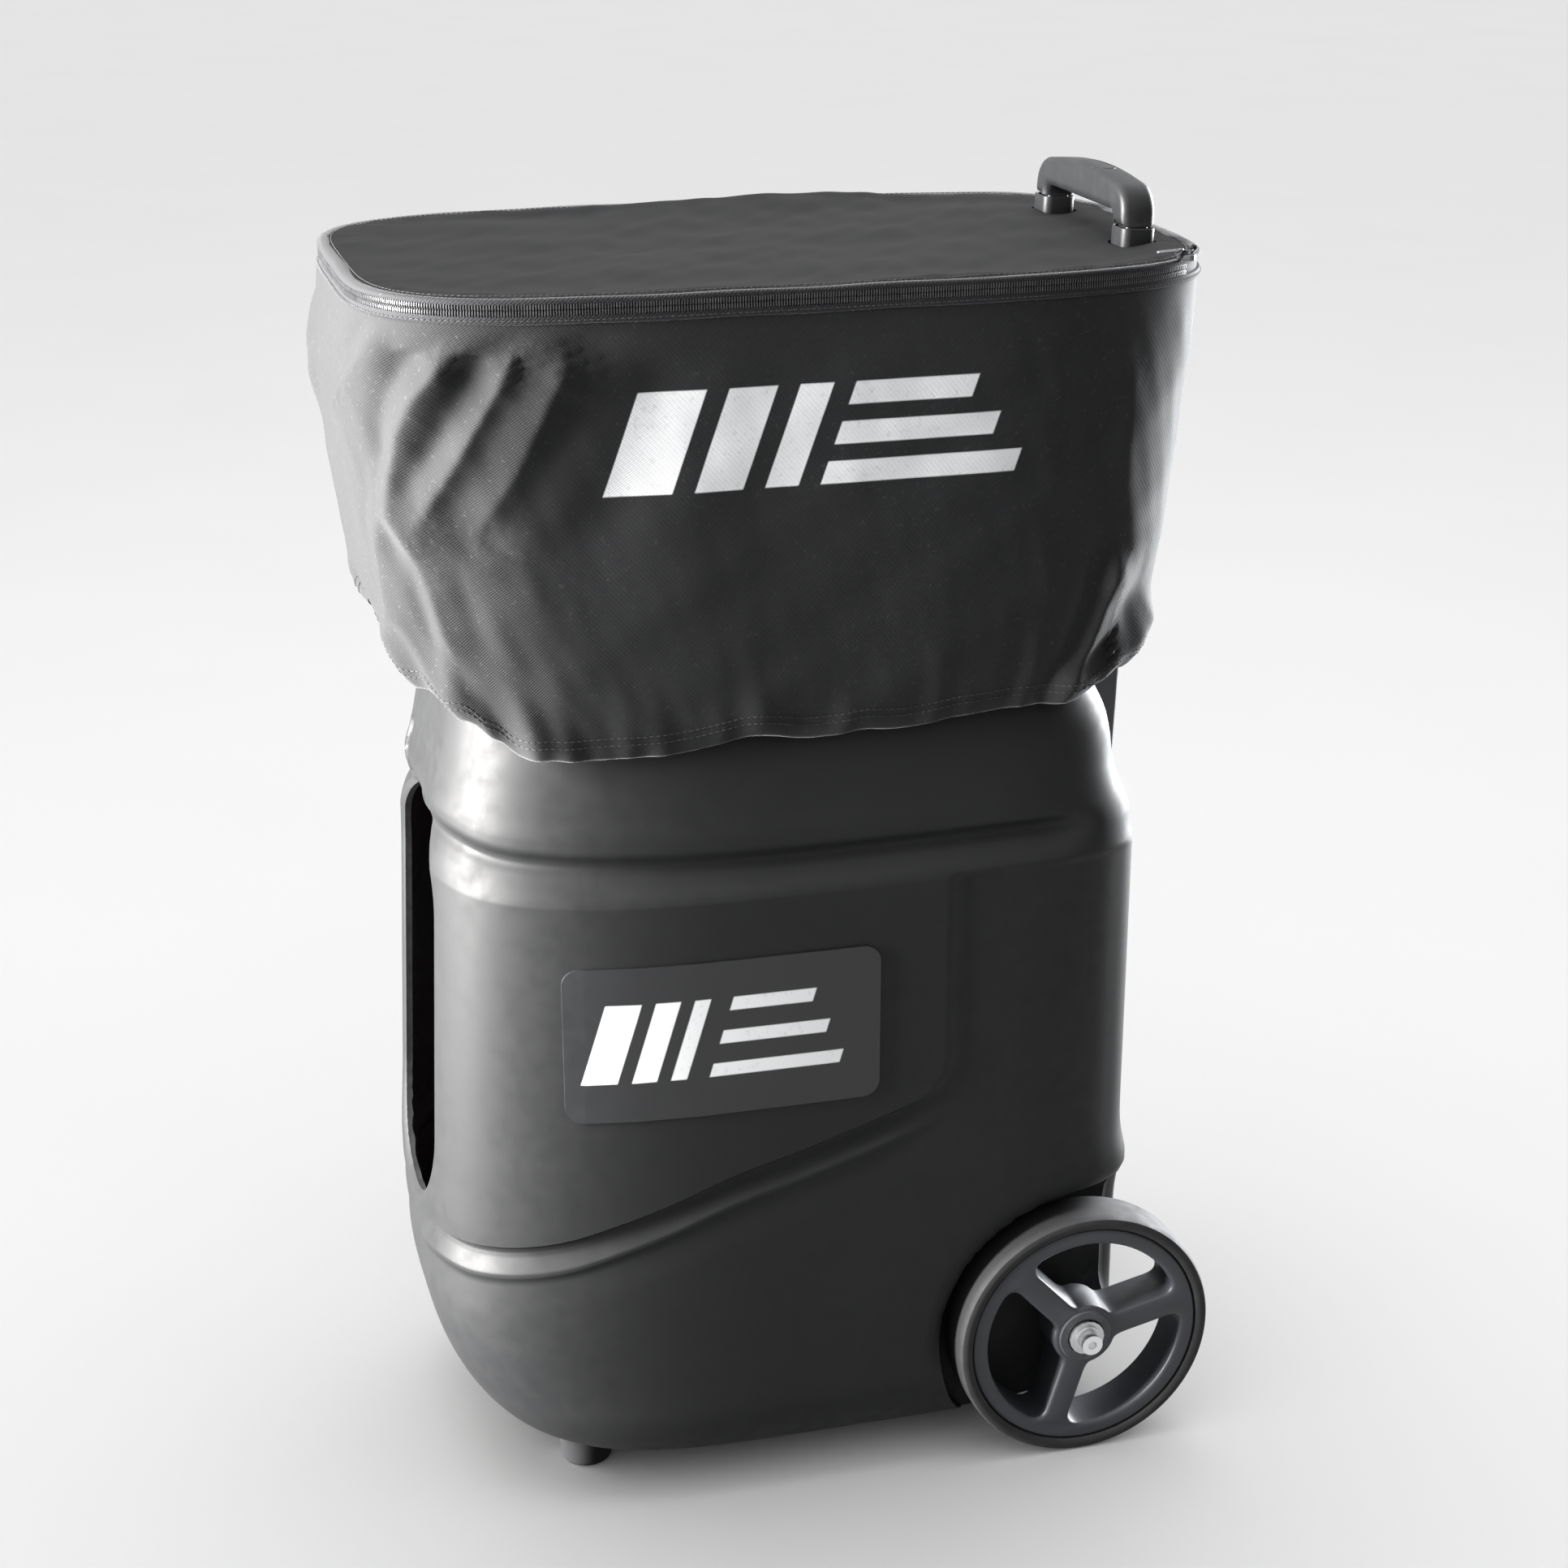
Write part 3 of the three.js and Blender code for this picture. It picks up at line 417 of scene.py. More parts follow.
def solid_look(name, color, roughness, metallic=0.0, grain=1100, depth=0.00008, strength=0.35, vary=0.16,
               wear=0.25, coat=0.0, level=0.5, mark=None):
    """Moulded plastic, rubber, paint or metal: grain, mottling, worn edges, and an optional printed mark."""
    n = Nodes(bpy.data.materials.new(name))
    where = n.add("ShaderNodeTexCoord").outputs["Object"]
    mottle = n.noise(where, 22, 4)
    base = n.blend(mottle, shade(color, 1 - vary), shade(color, 1 + vary))
    edge = n.span(n.add("ShaderNodeNewGeometry").outputs["Pointiness"], 0.52, 0.60, 0, wear)
    scuff = n.math("MULTIPLY", edge, n.span(n.noise(where, 160, 5), 0.4, 0.65, 0.2, 1), True)
    base = n.blend(scuff, base, shade(tuple(c + 0.05 for c in color[:3]), 1.6))
    if mark:
        share = mark(n, where)
        base = n.blend(share, base, (0.56, 0.57, 0.58, 1))
    n.feed(n.shader.inputs["Base Color"], base)
    rough = n.span(n.noise(where, 90, 4), 0.3, 0.7, roughness - 0.06, roughness + 0.07)
    n.feed(n.shader.inputs["Roughness"], rough)
    n.shader.inputs["Metallic"].default_value = metallic
    n.shader.inputs["Specular IOR Level"].default_value = level
    n.shader.inputs["Coat Weight"].default_value = coat
    pebble = n.noise(where, grain, 2, 0.5)
    n.feed(n.shader.inputs["Normal"], n.bump(pebble, strength, depth))
    return n.material


def cloth_look(name, color, roughness=0.8, period=0.0011, mark=None, sheen=0.12):
    """Twill: diagonal ribs on the cloth's own map, with threads across them, slubs and faint dust; the rib bands
    are also coloured lighter, a painted highlight on their crests.
    """
    n = Nodes(bpy.data.materials.new(name))
    cloth = n.add("ShaderNodeUVMap", uv_map="Cloth").outputs["UV"]
    where = n.add("ShaderNodeTexCoord").outputs["Object"]
    scale = 0.314 / period
    ribs = [n.add("ShaderNodeTexWave", {"Vector": n.add("ShaderNodeMapping", {
        "Vector": cloth, "Rotation": (0, 0, math.radians(turn))}).outputs[0], "Scale": scale * k,
        "Distortion": 0.6, "Detail": 1.0, "Detail Scale": 2.0}, wave_type="BANDS").outputs["Fac"]
        for turn, k in ((52, 1.0), (-38, 0.55))]
    weave = n.math("MULTIPLY_ADD", ribs[1], 0.35)
    n.tree.links.new(ribs[0], weave.node.inputs[2])
    base = n.blend(n.noise(where, 14, 5), shade(color, 0.86), shade(color, 1.16))
    # painted highlight: the rib bands are coloured lighter, as if light caught the raised threads
    base = n.blend(n.math("MULTIPLY", ribs[0], 0.22), base, shade(color, 1.9))
    dust = n.span(n.noise(where, 420, 6), 0.60, 0.75, 0, 0.10)
    base = n.blend(dust, base, (0.20, 0.20, 0.20, 1))
    if mark:
        base = n.blend(mark(n, where), base, (0.57, 0.58, 0.59, 1))
    n.feed(n.shader.inputs["Base Color"], base)
    n.shader.inputs["Roughness"].default_value = roughness
    n.shader.inputs["Sheen Weight"].default_value = sheen
    n.shader.inputs["Sheen Roughness"].default_value = 0.45
    n.shader.inputs["Specular IOR Level"].default_value = 0.2
    n.feed(n.shader.inputs["Normal"], n.bump(weave, 0.5, 0.00018))
    return n.material


def inside(n, value, low, high, soft=0.0004):
    """1 between low and high, with a soft edge."""
    return n.math("MULTIPLY", n.span(value, low - soft, low + soft, 0, 1),
                  n.span(value, high - soft, high + soft, 1, 0), True)


def slanted_bars(bars, lean, z_low, z_high, min_side):
    """A generic mark of leaning bars, on the flanks only: bars are (x low, x high, z low, z high)."""
    def mark(n, where):
        parts = n.add("ShaderNodeSeparateXYZ", {"Vector": where}).outputs
        height = parts["Z"]
        leaning = n.math("SUBTRACT", parts["X"], n.math("MULTIPLY", height, lean))
        total = None
        for x0, x1, z0, z1 in bars:
            shift = lean * (z_low + z_high) / 2
            across = inside(n, leaning, x0 - shift, x1 - shift)
            one = n.math("MULTIPLY", across, inside(n, height, z0, z1), True)
            total = one if total is None else n.math("MAXIMUM", total, one)
        flank = n.span(n.math("ABSOLUTE", parts["Y"]), min_side, min_side + 0.001, 0, 1)
        worn = n.span(n.noise(where, 300, 5), 0.25, 0.42, 0.75, 1)
        return n.math("MULTIPLY", n.math("MULTIPLY", total, flank), worn, True)
    return mark


COVER_MARK = slanted_bars(
    [(-0.112, -0.076, 0.622, 0.676), (-0.064, -0.038, 0.622, 0.676), (-0.026, -0.008, 0.622, 0.676),
     (0.004, 0.112, 0.622, 0.634), (0.004, 0.092, 0.643, 0.655), (0.004, 0.072, 0.664, 0.676)],
    0.35, 0.622, 0.676, 0.1)
LABEL_MARK = slanted_bars(
    [(-0.132, -0.112, 0.282, 0.330), (-0.104, -0.090, 0.282, 0.330), (-0.082, -0.073, 0.282, 0.330),
     (-0.060, 0.016, 0.282, 0.290), (-0.060, 0.002, 0.302, 0.310), (-0.060, -0.012, 0.322, 0.330)],
    0.3, 0.282, 0.330, 0.1)

LOOK = {
    "body": solid_look("body_plastic", (0.0088, 0.0092, 0.0098), 0.56, level=0.22),
    "inner": solid_look("inner_plastic", (0.030, 0.032, 0.035), 0.55, level=0.4),
    "frame": solid_look("frame_plastic", (0.055, 0.058, 0.064), 0.5),
    "wheel": solid_look("wheel_plastic", (0.026, 0.028, 0.033), 0.42, level=0.45, grain=1500),
    "tyre": solid_look("tyre_rubber", (0.013, 0.013, 0.014), 0.72, grain=700, depth=0.00012, level=0.3),
    "foot": solid_look("foot_rubber", (0.010, 0.010, 0.011), 0.85, level=0.2),
    "throw": solid_look("throw_rubber", (0.20, 0.035, 0.022), 0.78, grain=800, depth=0.00015, level=0.3),
    "zip": solid_look("zip_teeth", (0.022, 0.022, 0.024), 0.35, grain=2000),
    "thread": solid_look("thread", (0.024, 0.0245, 0.026), 0.8, grain=3000, level=0.2),
    "steel": solid_look("steel", (0.52, 0.53, 0.54), 0.3, 1.0, grain=500, strength=0.08, vary=0.06, wear=0.1),
    "gunmetal": solid_look("dark_zip_metal", (0.10, 0.10, 0.11), 0.34, 0.9, grain=700, strength=0.12,
                           vary=0.1, wear=0.6),
    "chrome": solid_look("chrome", (0.80, 0.81, 0.82), 0.13, 1.0, grain=400, strength=0.04, vary=0.04,
                         wear=0.0),
    "motor": solid_look("motor_can", (0.24, 0.25, 0.26), 0.38, 0.9, grain=600, strength=0.1, vary=0.08),
    "battery": solid_look("battery_case", (0.045, 0.050, 0.058), 0.55),
    "board": solid_look("circuit_board", (0.015, 0.085, 0.035), 0.45, grain=260, depth=0.0006, vary=0.3),
    "display": solid_look("display_glass", (0.006, 0.010, 0.012), 0.08, strength=0.02, coat=0.6, wear=0.0),
    "grip": solid_look("grip_plastic", (0.009, 0.0095, 0.0105), 0.46, level=0.3, grain=1300),
    "red": solid_look("button_red", (0.42, 0.018, 0.012), 0.38),
    "tube": solid_look("tube_aluminium", (0.045, 0.046, 0.050), 0.34, 0.75, grain=900, strength=0.1),
    "label": solid_look("label_film", (0.010, 0.0105, 0.0115), 0.34, grain=260, strength=0.06, wear=0.0,
                        mark=LABEL_MARK),
    "cover": cloth_look("cover_twill", (0.0085, 0.0088, 0.0096), mark=COVER_MARK),
    "lid": cloth_look("lid_twill", (0.0165, 0.0170, 0.0185)),
    "tape": cloth_look("zip_tape", (0.012, 0.012, 0.0135), period=0.0014, sheen=0.06),
}
SLOT_LOOK = {
    "body_plastic": "body", "inner_plastic": "inner", "frame_plastic": "frame", "wheel_plastic": "wheel",
    "tyre": "tyre", "foot_rubber": "foot", "throw_rubber": "throw", "cover_fabric": "cover", "zipper": "zip",
    "steel": "steel", "chrome": "chrome", "label_film": "label", "motor_can": "motor",
    "battery_case": "battery", "circuit_board": "board", "display_glass": "display",
    "grip_plastic": "grip", "button_red": "red", "tube_aluminium": "tube",
}


def hand_over(obj, body, slot, *nodes):
    """obj rides on a body and stands for CAD nodes; slot is not used."""
    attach(obj, body)
    if nodes:
        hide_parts(*nodes)
    return obj


# ---- the body's skin ----
def body_outline(t, z, base, wall):
    """The housing's outline at each height; base is the height before the shoulder's rise."""
    side_c, nose_c, tail_c = (BODY["bottom"] + r for r in (SIDE_ROUND, NOSE_ROUND[1], TAIL_ROUND))

    def quarter(centre, out, down):
        return out * np.sqrt(np.clip(1 - (np.maximum(centre - z, 0) / down) ** 2, 0, 1))

    lean = np.clip((z - LEAN_FROM) * BODY["lean"] / (SHOULDER - LEAN_FROM), 0, BODY["lean"])
    front = BODY["front"] - lean - wall
    nose = BODY["front"] - NOSE_ROUND[0] + quarter(nose_c, NOSE_ROUND[0] - wall, NOSE_ROUND[1] - wall)
    half = BODY["half"] - SIDE_ROUND + quarter(side_c, SIDE_ROUND - wall, SIDE_ROUND - wall)
    rear = BODY["rear"] - TAIL_ROUND + quarter(tail_c, TAIL_ROUND - wall, TAIL_ROUND - wall)
    front = np.where(z < nose_c, nose, front)
    front_in, side_in, smooth_in, rear_in = (follow(base, [(r[0], r[k]) for r in NECK]) for k in (1, 2, 3, 4))
    past_panel = ease(np.cos(t) * rear, PANEL_EDGE_X - 30, PANEL_EDGE_X + 45)
    side_in = side_in + past_panel * (smooth_in - side_in)
    return superellipse(t, front - front_in, rear - rear_in, half - side_in, BODY_SHARP)


def slot_distance(y, z):
    """How far a point of the front lies outside the ball slot's edge."""
    above = np.maximum(z - SLOT_HIGH, 0) + np.minimum(z - SLOT_LOW, 0)
    return np.hypot(y, above) - SLOT_HALF


def beyond_rounded(u, v, radius):
    """Distance outside a corner-rounded field; u and v are distances beyond its straight edges."""
    u, v = u + radius, v + radius
    return np.hypot(np.maximum(u, 0), np.maximum(v, 0)) + np.minimum(np.maximum(u, v), 0) - radius


def body_relief(x, y, z, base):
    """How far the moulded relief stands out from the plain outline."""
    below = z - follow(round_from_front(x, y), WAVE)
    panel = beyond_rounded(x - PANEL_EDGE_X, np.maximum(-below, base - PANEL_TOP - 30), PANEL_ROUND)
    lowered = -1.8 * ease(panel, -0.6, 1.6) * (1 - ease(base, 386, 392)) * (1 - ease(x, 180, 196))
    groove = np.interp(below, [-44, -25, -23.2, -20.5, -18, -8.5, -5.5, -3.2, -1.4, 0],
                       [0, -0.9, -0.5, 0.9, 1.1, -2.9, -3.6, -3.2, -0.6, 0])
    front_slot = np.where(x < 0, slot_distance(y, z), 99)
    groove = groove * (1 - ease(x, 30, PANEL_EDGE_X)) * ease(front_slot, 3, 11)
    lip = -3.4 * np.clip((6.5 - front_slot) / 6.5, 0, 1.2) ** 1.7
    plate = beyond_rounded(np.abs(y) - NOSE_PLATE["half"],
                           np.abs(z - (NOSE_PLATE["low"] + NOSE_PLATE["high"]) / 2)
                           - (NOSE_PLATE["high"] - NOSE_PLATE["low"]) / 2, NOSE_PLATE["round"])
    sunk = -NOSE_PLATE["depth"] * (1 - ease(plate, -1.4, 0.4)) * (x < -150)
    return lowered + groove + lip + sunk + fender_relief(x, y, z)


def fender_relief(x, y, z):
    """The body swells above the wheel at the tail and turns in to the wheel arch."""
    arch = np.hypot(x - WHEEL_X, z - WHEEL_Z) - ARCH_R
    to_tail = ease(x, 150, 196) * ease(np.abs(y), 30, 110)
    flare = FENDER["flare"] * np.exp(-(((arch - FENDER["at"]) / FENDER["spread"]) ** 2)) * to_tail
    turn = FENDER["lip_front"] + (FENDER["lip_tail"] - FENDER["lip_front"]) * to_tail
    inside_lip = np.clip((turn - arch) / turn, 0, 1)
    on_side = ease(np.abs(y), 96, 106) * ease(z, 60, 100)
    lip = -0.62 * turn * (1 - np.sqrt(1 - 0.96 * inside_lip ** 2)) * on_side
    return flare + lip


def body_rings(rows, columns, wall):
    low = BODY["bottom"] + wall
    base = np.maximum(rows, low)[:, None] + 0 * columns[None]
    x, y = body_outline(columns[None], base, base, wall)
    around = round_from_front(x, y)
    lift = np.interp(base, [14, 150, 205, 385], [0, 1, 1, 0]) * (follow(around, WAVE) - WAVE_REST)
    rise = np.interp(base, [380, 398, 420, 450], [0, 1, 1, 0]) * follow(around, GROOVE_RISE)
    z = base + lift + rise
    x, y = body_outline(columns[None], z, base, wall)
    nx, ny = plan_normals(x, y)
    out = body_relief(x, y, z, base)
    return np.stack([x + nx * out, y + ny * out, z], -1)


def rod(axis, r, low, high, centre, sides=96):
    return lathe("tool", [(r, low), (r, high)], axis, centre, sides=sides)


def leaning_matrix():
    tilt = Matrix.Rotation(math.radians(HANDLE_TILT), 4, "Y")
    return Matrix.Translation(Vector((HANDLE_X, 0, HANDLE_Z)) * MM) @ tilt


def handle_holes(low, high):
    tools = []
    for side in (-1, 1):
        y = side * HANDLE_Y
        tool = block(-10.2, 10.2, y - 10.6, y + 10.6, low, high)
        tool.data.transform(leaning_matrix())
        tools.append(tool)
    return tools


def build_body():
    columns = spaced_columns(215, 203, 140, BODY_SHARP,
                             lambda x: np.where(x < -150, 1.7, np.where(x > 150, 3.2, 2.8)))
    rows = spread_rows((14, 20, 1.2), (20, 60, 3.5), (60, 150, 4), (150, 165, 2), (165, 192, 0.75),
                       (192, 384, 2.6), (384, 456, 0.9), (456, 486.6, 2.2))
    coarse = np.append(rows[::3], [BODY["top"] + 5, BODY["top"] + 9])
    shell = stack("body_skin", body_rings(rows, columns, 0))
    core = stack("core", body_rings(np.unique(coarse), columns[::2], WALL))
    for grow, target in ((0, shell), (WALL, core)):
        wells = []
        for side in (-1, 1):
            ends = sorted((side * (WELL_Y - grow), side * 200))
            wells.append(rod("y", ARCH_R + grow, *ends, (WHEEL_X, 0, WHEEL_Z), 144))
        carve(target, *wells)
    carve(shell, core)
    slot = plate("slot_tool", [round_rect(2 * SLOT_HALF, SLOT_HIGH - SLOT_LOW + 2 * SLOT_HALF,
                                          SLOT_HALF - 0.01, steps=40)], -45, 45, 0.01,
                 Matrix.Translation((-0.195, 0, (SLOT_LOW + SLOT_HIGH) / 2 * MM))
                 @ Matrix.Rotation(math.pi / 2, 4, "Z") @ Matrix.Rotation(math.pi / 2, 4, "X"))
    tools = [slot, block(-102, 134, -42, 42, 0, 40), block(176, 226, -62, 62, 112, 200),
             rod("y", 6.6, -130, 130, (WHEEL_X, 0, WHEEL_Z), 48), *handle_holes(-345, -200)]
    for x, y, r, _, _ in FEET.values():
        tools += [rod("z", r + GAP, 0, 40, (x, side * y, 0), 64) for side in (-1, 1)]
    carve(shell, *tools)
    dress(shell, LOOK["body"], 38)
    hand_over(shell, "base", "body_plastic", "body_shell")


# ---- the hopper's tub ----
def level_rings(table, rows, columns, grow=0.0):
    heights, front, half, rear = (np.array(c, float) for c in zip(*table))
    z = rows[:, None] + 0 * columns[None]
    parts = [np.interp(z, heights, c) + grow for c in (front, rear, half)]
    x, y = superellipse(columns[None], *parts, (SOFT_SHARP, SOFT_SHARP))
    return np.stack([x, y, z], -1)


def build_tub():
    columns = spaced_columns(220, 205, 135, (SOFT_SHARP, SOFT_SHARP), lambda x: 3.2 + 0 * x)
    rows = spread_rows((491.3, 520, 2.5), (520, 718, 6))
    tub = stack("hopper_wall", level_rings(HOPPER, rows, columns))
    hollow = stack("hollow", level_rings(HOPPER, np.append(rows, 725), columns, -WALL))
    hollow.data.transform(Matrix.Translation((0, 0, -0.003)))
    partition = block(BALL_BOX_REAR, BALL_BOX_REAR + WALL, -200, 200, 400, 800)
    carve(hollow, partition)
    carve(tub, hollow, *handle_holes(-260, 20))
    dress(tub, LOOK["inner"], 38)
    hand_over(tub, "base", "inner_plastic", "hopper_tub")


# ---- the soft cover ----
def fold_relief(points):
    """The cover's folds: each crest stands out and falls away more sharply on its front flank."""
    total = np.zeros(points.shape[:-1])
    flat = points.reshape(-1, 3)
    for mirror, share in ((1, 1.0), (-1, 0.85)):
        for crest, height, front_width, rear_width in FOLDS:
            line = np.array(crest, float) * (1, mirror, 1)
            ends = np.concatenate([[0], np.cumsum(np.linalg.norm(np.diff(line, axis=0), axis=1))])
            at = np.linspace(0, ends[-1], int(ends[-1] / 3) + 2)
            dense = np.stack([np.interp(at, ends, line[:, k]) for k in range(3)], -1)
            near = (np.abs(flat - dense.mean(0)) < ends[-1] / 2 + 60).all(1)
            picked = flat[near]
            apart = np.linalg.norm(picked[:, None] - dense[None], axis=2)
            which = apart.argmin(1)
            distance = apart[np.arange(len(picked)), which]
            ahead = picked[:, 0] - dense[which, 0] + 0.6 * mirror * (dense[which, 1] - picked[:, 1])
            width = np.where(ahead < 0, front_width, rear_width)
            taper = ease(at[which], -1, 22) * (1 - ease(at[which], ends[-1] - 30, ends[-1] + 4))
            ridge = np.exp(-((distance / width) ** 1.35)) - 0.35 * np.exp(-((distance / width - 2.1) ** 2))
            total.reshape(-1)[near] += share * height * taper * ridge
    return total


def cover_rings(columns, rows):
    """The skirt's outer face: rows run from 0 at the hem to 1 at the zip."""
    x, y = superellipse(columns, 218, 212, 138, (SOFT_SHARP, SOFT_SHARP))
    around = round_from_front(x, y)
    arc = np.concatenate([[0], np.cumsum(np.hypot(np.diff(x), np.diff(y)))])
    hem = follow(around, HEM) + np.where(y > 0, 1.5, 0) * np.sin(arc / 60)
    for centre, width, lift in HEM_TUCKS:
        hem = hem + lift * np.exp(-(((around - centre) / width) ** 2))
    hem = hem + 0.9 * ripple(arc, 0 * arc, 11, 5, 22, 60)
    z = hem[None] + rows[:, None] * (ZIP_LOW - hem[None])
    parts = [np.interp(z, [r[0] for r in SKIRT], [r[k] for r in SKIRT]) for k in (1, 3, 2)]
    x, y = superellipse(columns[None], *parts, (SOFT_SHARP, SOFT_SHARP))
    nx, ny = plan_normals(x, y)
    points = np.stack([x, y, z], -1)
    up = z - hem[None]
    corner = np.exp(-(((around - 26) / 20) ** 2)) + 0.8 * np.exp(-(((around - 144) / 16) ** 2))
    out = 1.3 * fold_relief(points)
    gather = ripple(arc[None], up * 0.18, 5, 7, 13, 34)
    out += gather * (0.7 + 2.3 * corner) * np.exp(-up / 24)
    out -= 1.6 * np.exp(-up / 4)
    for centre, width, lift in HEM_BULGES:
        out += lift * np.exp(-(((around - centre) / width) ** 2)) * np.exp(-(((up - 9) / 17) ** 2))
    out += 0.55 * ripple(arc[None], z * 1.0, 3, 9, 40, 130) * ease(ZIP_LOW - z, 4, 40)
    out += 0.25 * ripple(arc[None], z * 0.6, 7, 9, 12, 30) * (0.35 + corner) * ease(ZIP_LOW - z, 4, 26)
    out *= ease(ZIP_LOW - z, -1, 9)
    points[..., 0] += nx * out
    points[..., 1] += ny * out
    return points, arc, z


def stitches(name, line, spacing, size, material, body, keep=None, lift=0.3, up=False, closed=True):
    line = np.asarray(line, float)
    where, along = walk(line, spacing, closed)
    if keep is not None:
        chosen = keep(where)
        where, along = where[chosen], along[chosen]
    outward = np.tile((0, 0, 1.0), (len(where), 1)) if up else np.stack(
        [along[:, 1], -along[:, 0], 0 * along[:, 0]], -1)
    outward = outward - along * (outward * along).sum(1, keepdims=True)
    outward /= np.linalg.norm(outward, axis=1, keepdims=True)
    obj = copies(name, where + outward * lift, along, outward, size, material)
    if body:
        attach(obj, body)
    return obj


def build_skirt():
    columns = spaced_columns(218, 212, 138, (SOFT_SHARP, SOFT_SHARP), lambda x: 1.9 + 0 * x)
    rows = spread_rows((0, 0.12, 0.006), (0.12, 1, 0.0085))
    outer, arc, z = cover_rings(columns, rows)
    uv = np.stack([np.broadcast_to(arc[None], z.shape), z], -1)
    skirt = make("cover_skirt", outer, grid_faces(len(rows), len(columns)), LOOK["cover"], 60, uv)
    thicken(skirt, 1.2)
    hand_over(skirt, "base", "cover_fabric", "hopper_cover")
    sewn = [stitches(f"hem_stitch_{k}", outer[k], 3.6, (1.3, 0.28, 0.25), LOOK["thread"], "base") for k in (6, 9)]


def thicken(obj, thickness):
    solid = obj.modifiers.new("thick", "SOLIDIFY")
    solid.thickness, solid.offset = thickness * MM, -1
    settle(obj)
    obj.data.polygons.foreach_set("use_smooth", [True] * len(obj.data.polygons))


def rim_line(out, z, columns):
    x, y = superellipse(columns, RIM["front"], RIM["rear"], RIM["half"], (SOFT_SHARP, SOFT_SHARP))
    nx, ny = plan_normals(x, y)
    return np.stack([x + nx * out, y + ny * out, z + 0 * x], -1)


def at_hinge(obj):
    """Bakes the placement of a piece of the lid's cloth into its mesh."""
    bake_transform(obj)


def build_zip():
    columns = spaced_columns(238, 234, 148, (SOFT_SHARP, SOFT_SHARP), lambda x: 2.4 + 0 * x)
    x, y = superellipse(columns, 238, 234, 148, (SOFT_SHARP, SOFT_SHARP))
    arc = np.concatenate([[0], np.cumsum(np.hypot(np.diff(x), np.diff(y)))])
    waver = 0.25 * ripple(arc, 0 * arc, 21, 6, 30, 90)

    def tape(name, profile):
        lines = np.stack([rim_line(out, z + waver, columns) for out, z in profile])
        uv = np.stack([np.stack([arc, z + 0 * arc], -1) for _, z in profile])
        obj = sweep(name, lines, LOOK["tape"], 60)
        layer = obj.data.uv_layers.new(name="Cloth")
        corner = np.zeros(len(obj.data.loops), np.int32)
        obj.data.loops.foreach_get("vertex_index", corner)
        layer.data.foreach_set("uv", (uv.reshape(-1, 2)[corner] * MM).ravel())
        return obj

    lower = tape("zip_tape_lower", [(0.2, 713.0), (1.0, 713.4), (1.3, 714.6), (0.8, 717.3), (-0.5, 717.3),
                                    (-0.7, 713.0)])
    hand_over(lower, "base", "zipper", "zipper_band")
    upper = tape("zip_tape_upper", [(-0.5, 723.4), (0.8, 723.4), (1.2, 724.9), (0.5, 726.0), (-1.4, 726.3),
                                    (-5.5, 725.6), (-9.0, 724.4), (-9.0, 723.4), (-1.2, 724.0)])
    back = tape("zip_backing", [(-1.5, 716.0), (-0.7, 716.0), (-0.7, 724.2), (-1.5, 724.2)])
    hand_over(back, "base", "zipper")

    def zipped(where):
        return (where[:, 0] < 206) & ~((where[:, 1] > 0) & (where[:, 0] > HINGE_X))

    size = (0.46, 1.75, 0.95)
    pitch = 1.45
    stitches("zip_teeth_lower", rim_line(0.1, 718.7, columns), pitch, size, LOOK["zip"], "base",
             zipped)
    teeth = stitches("zip_teeth_upper", rim_line(0.1, 722.0, columns), pitch, size, LOOK["zip"], None,
                     zipped)
    stitches("zip_stitch_lower", rim_line(1.3, 715.2, columns), 3.2, (1.2, 0.26, 0.22), LOOK["thread"],
             "base")
    seam = stitches("lid_topstitch", rim_line(-6.6, 725.6, columns), 3.2, (1.2, 0.3, 0.25), LOOK["thread"],
                    None, up=True, lift=0.9)
    for obj in (upper, teeth, seam):
        at_hinge(obj)


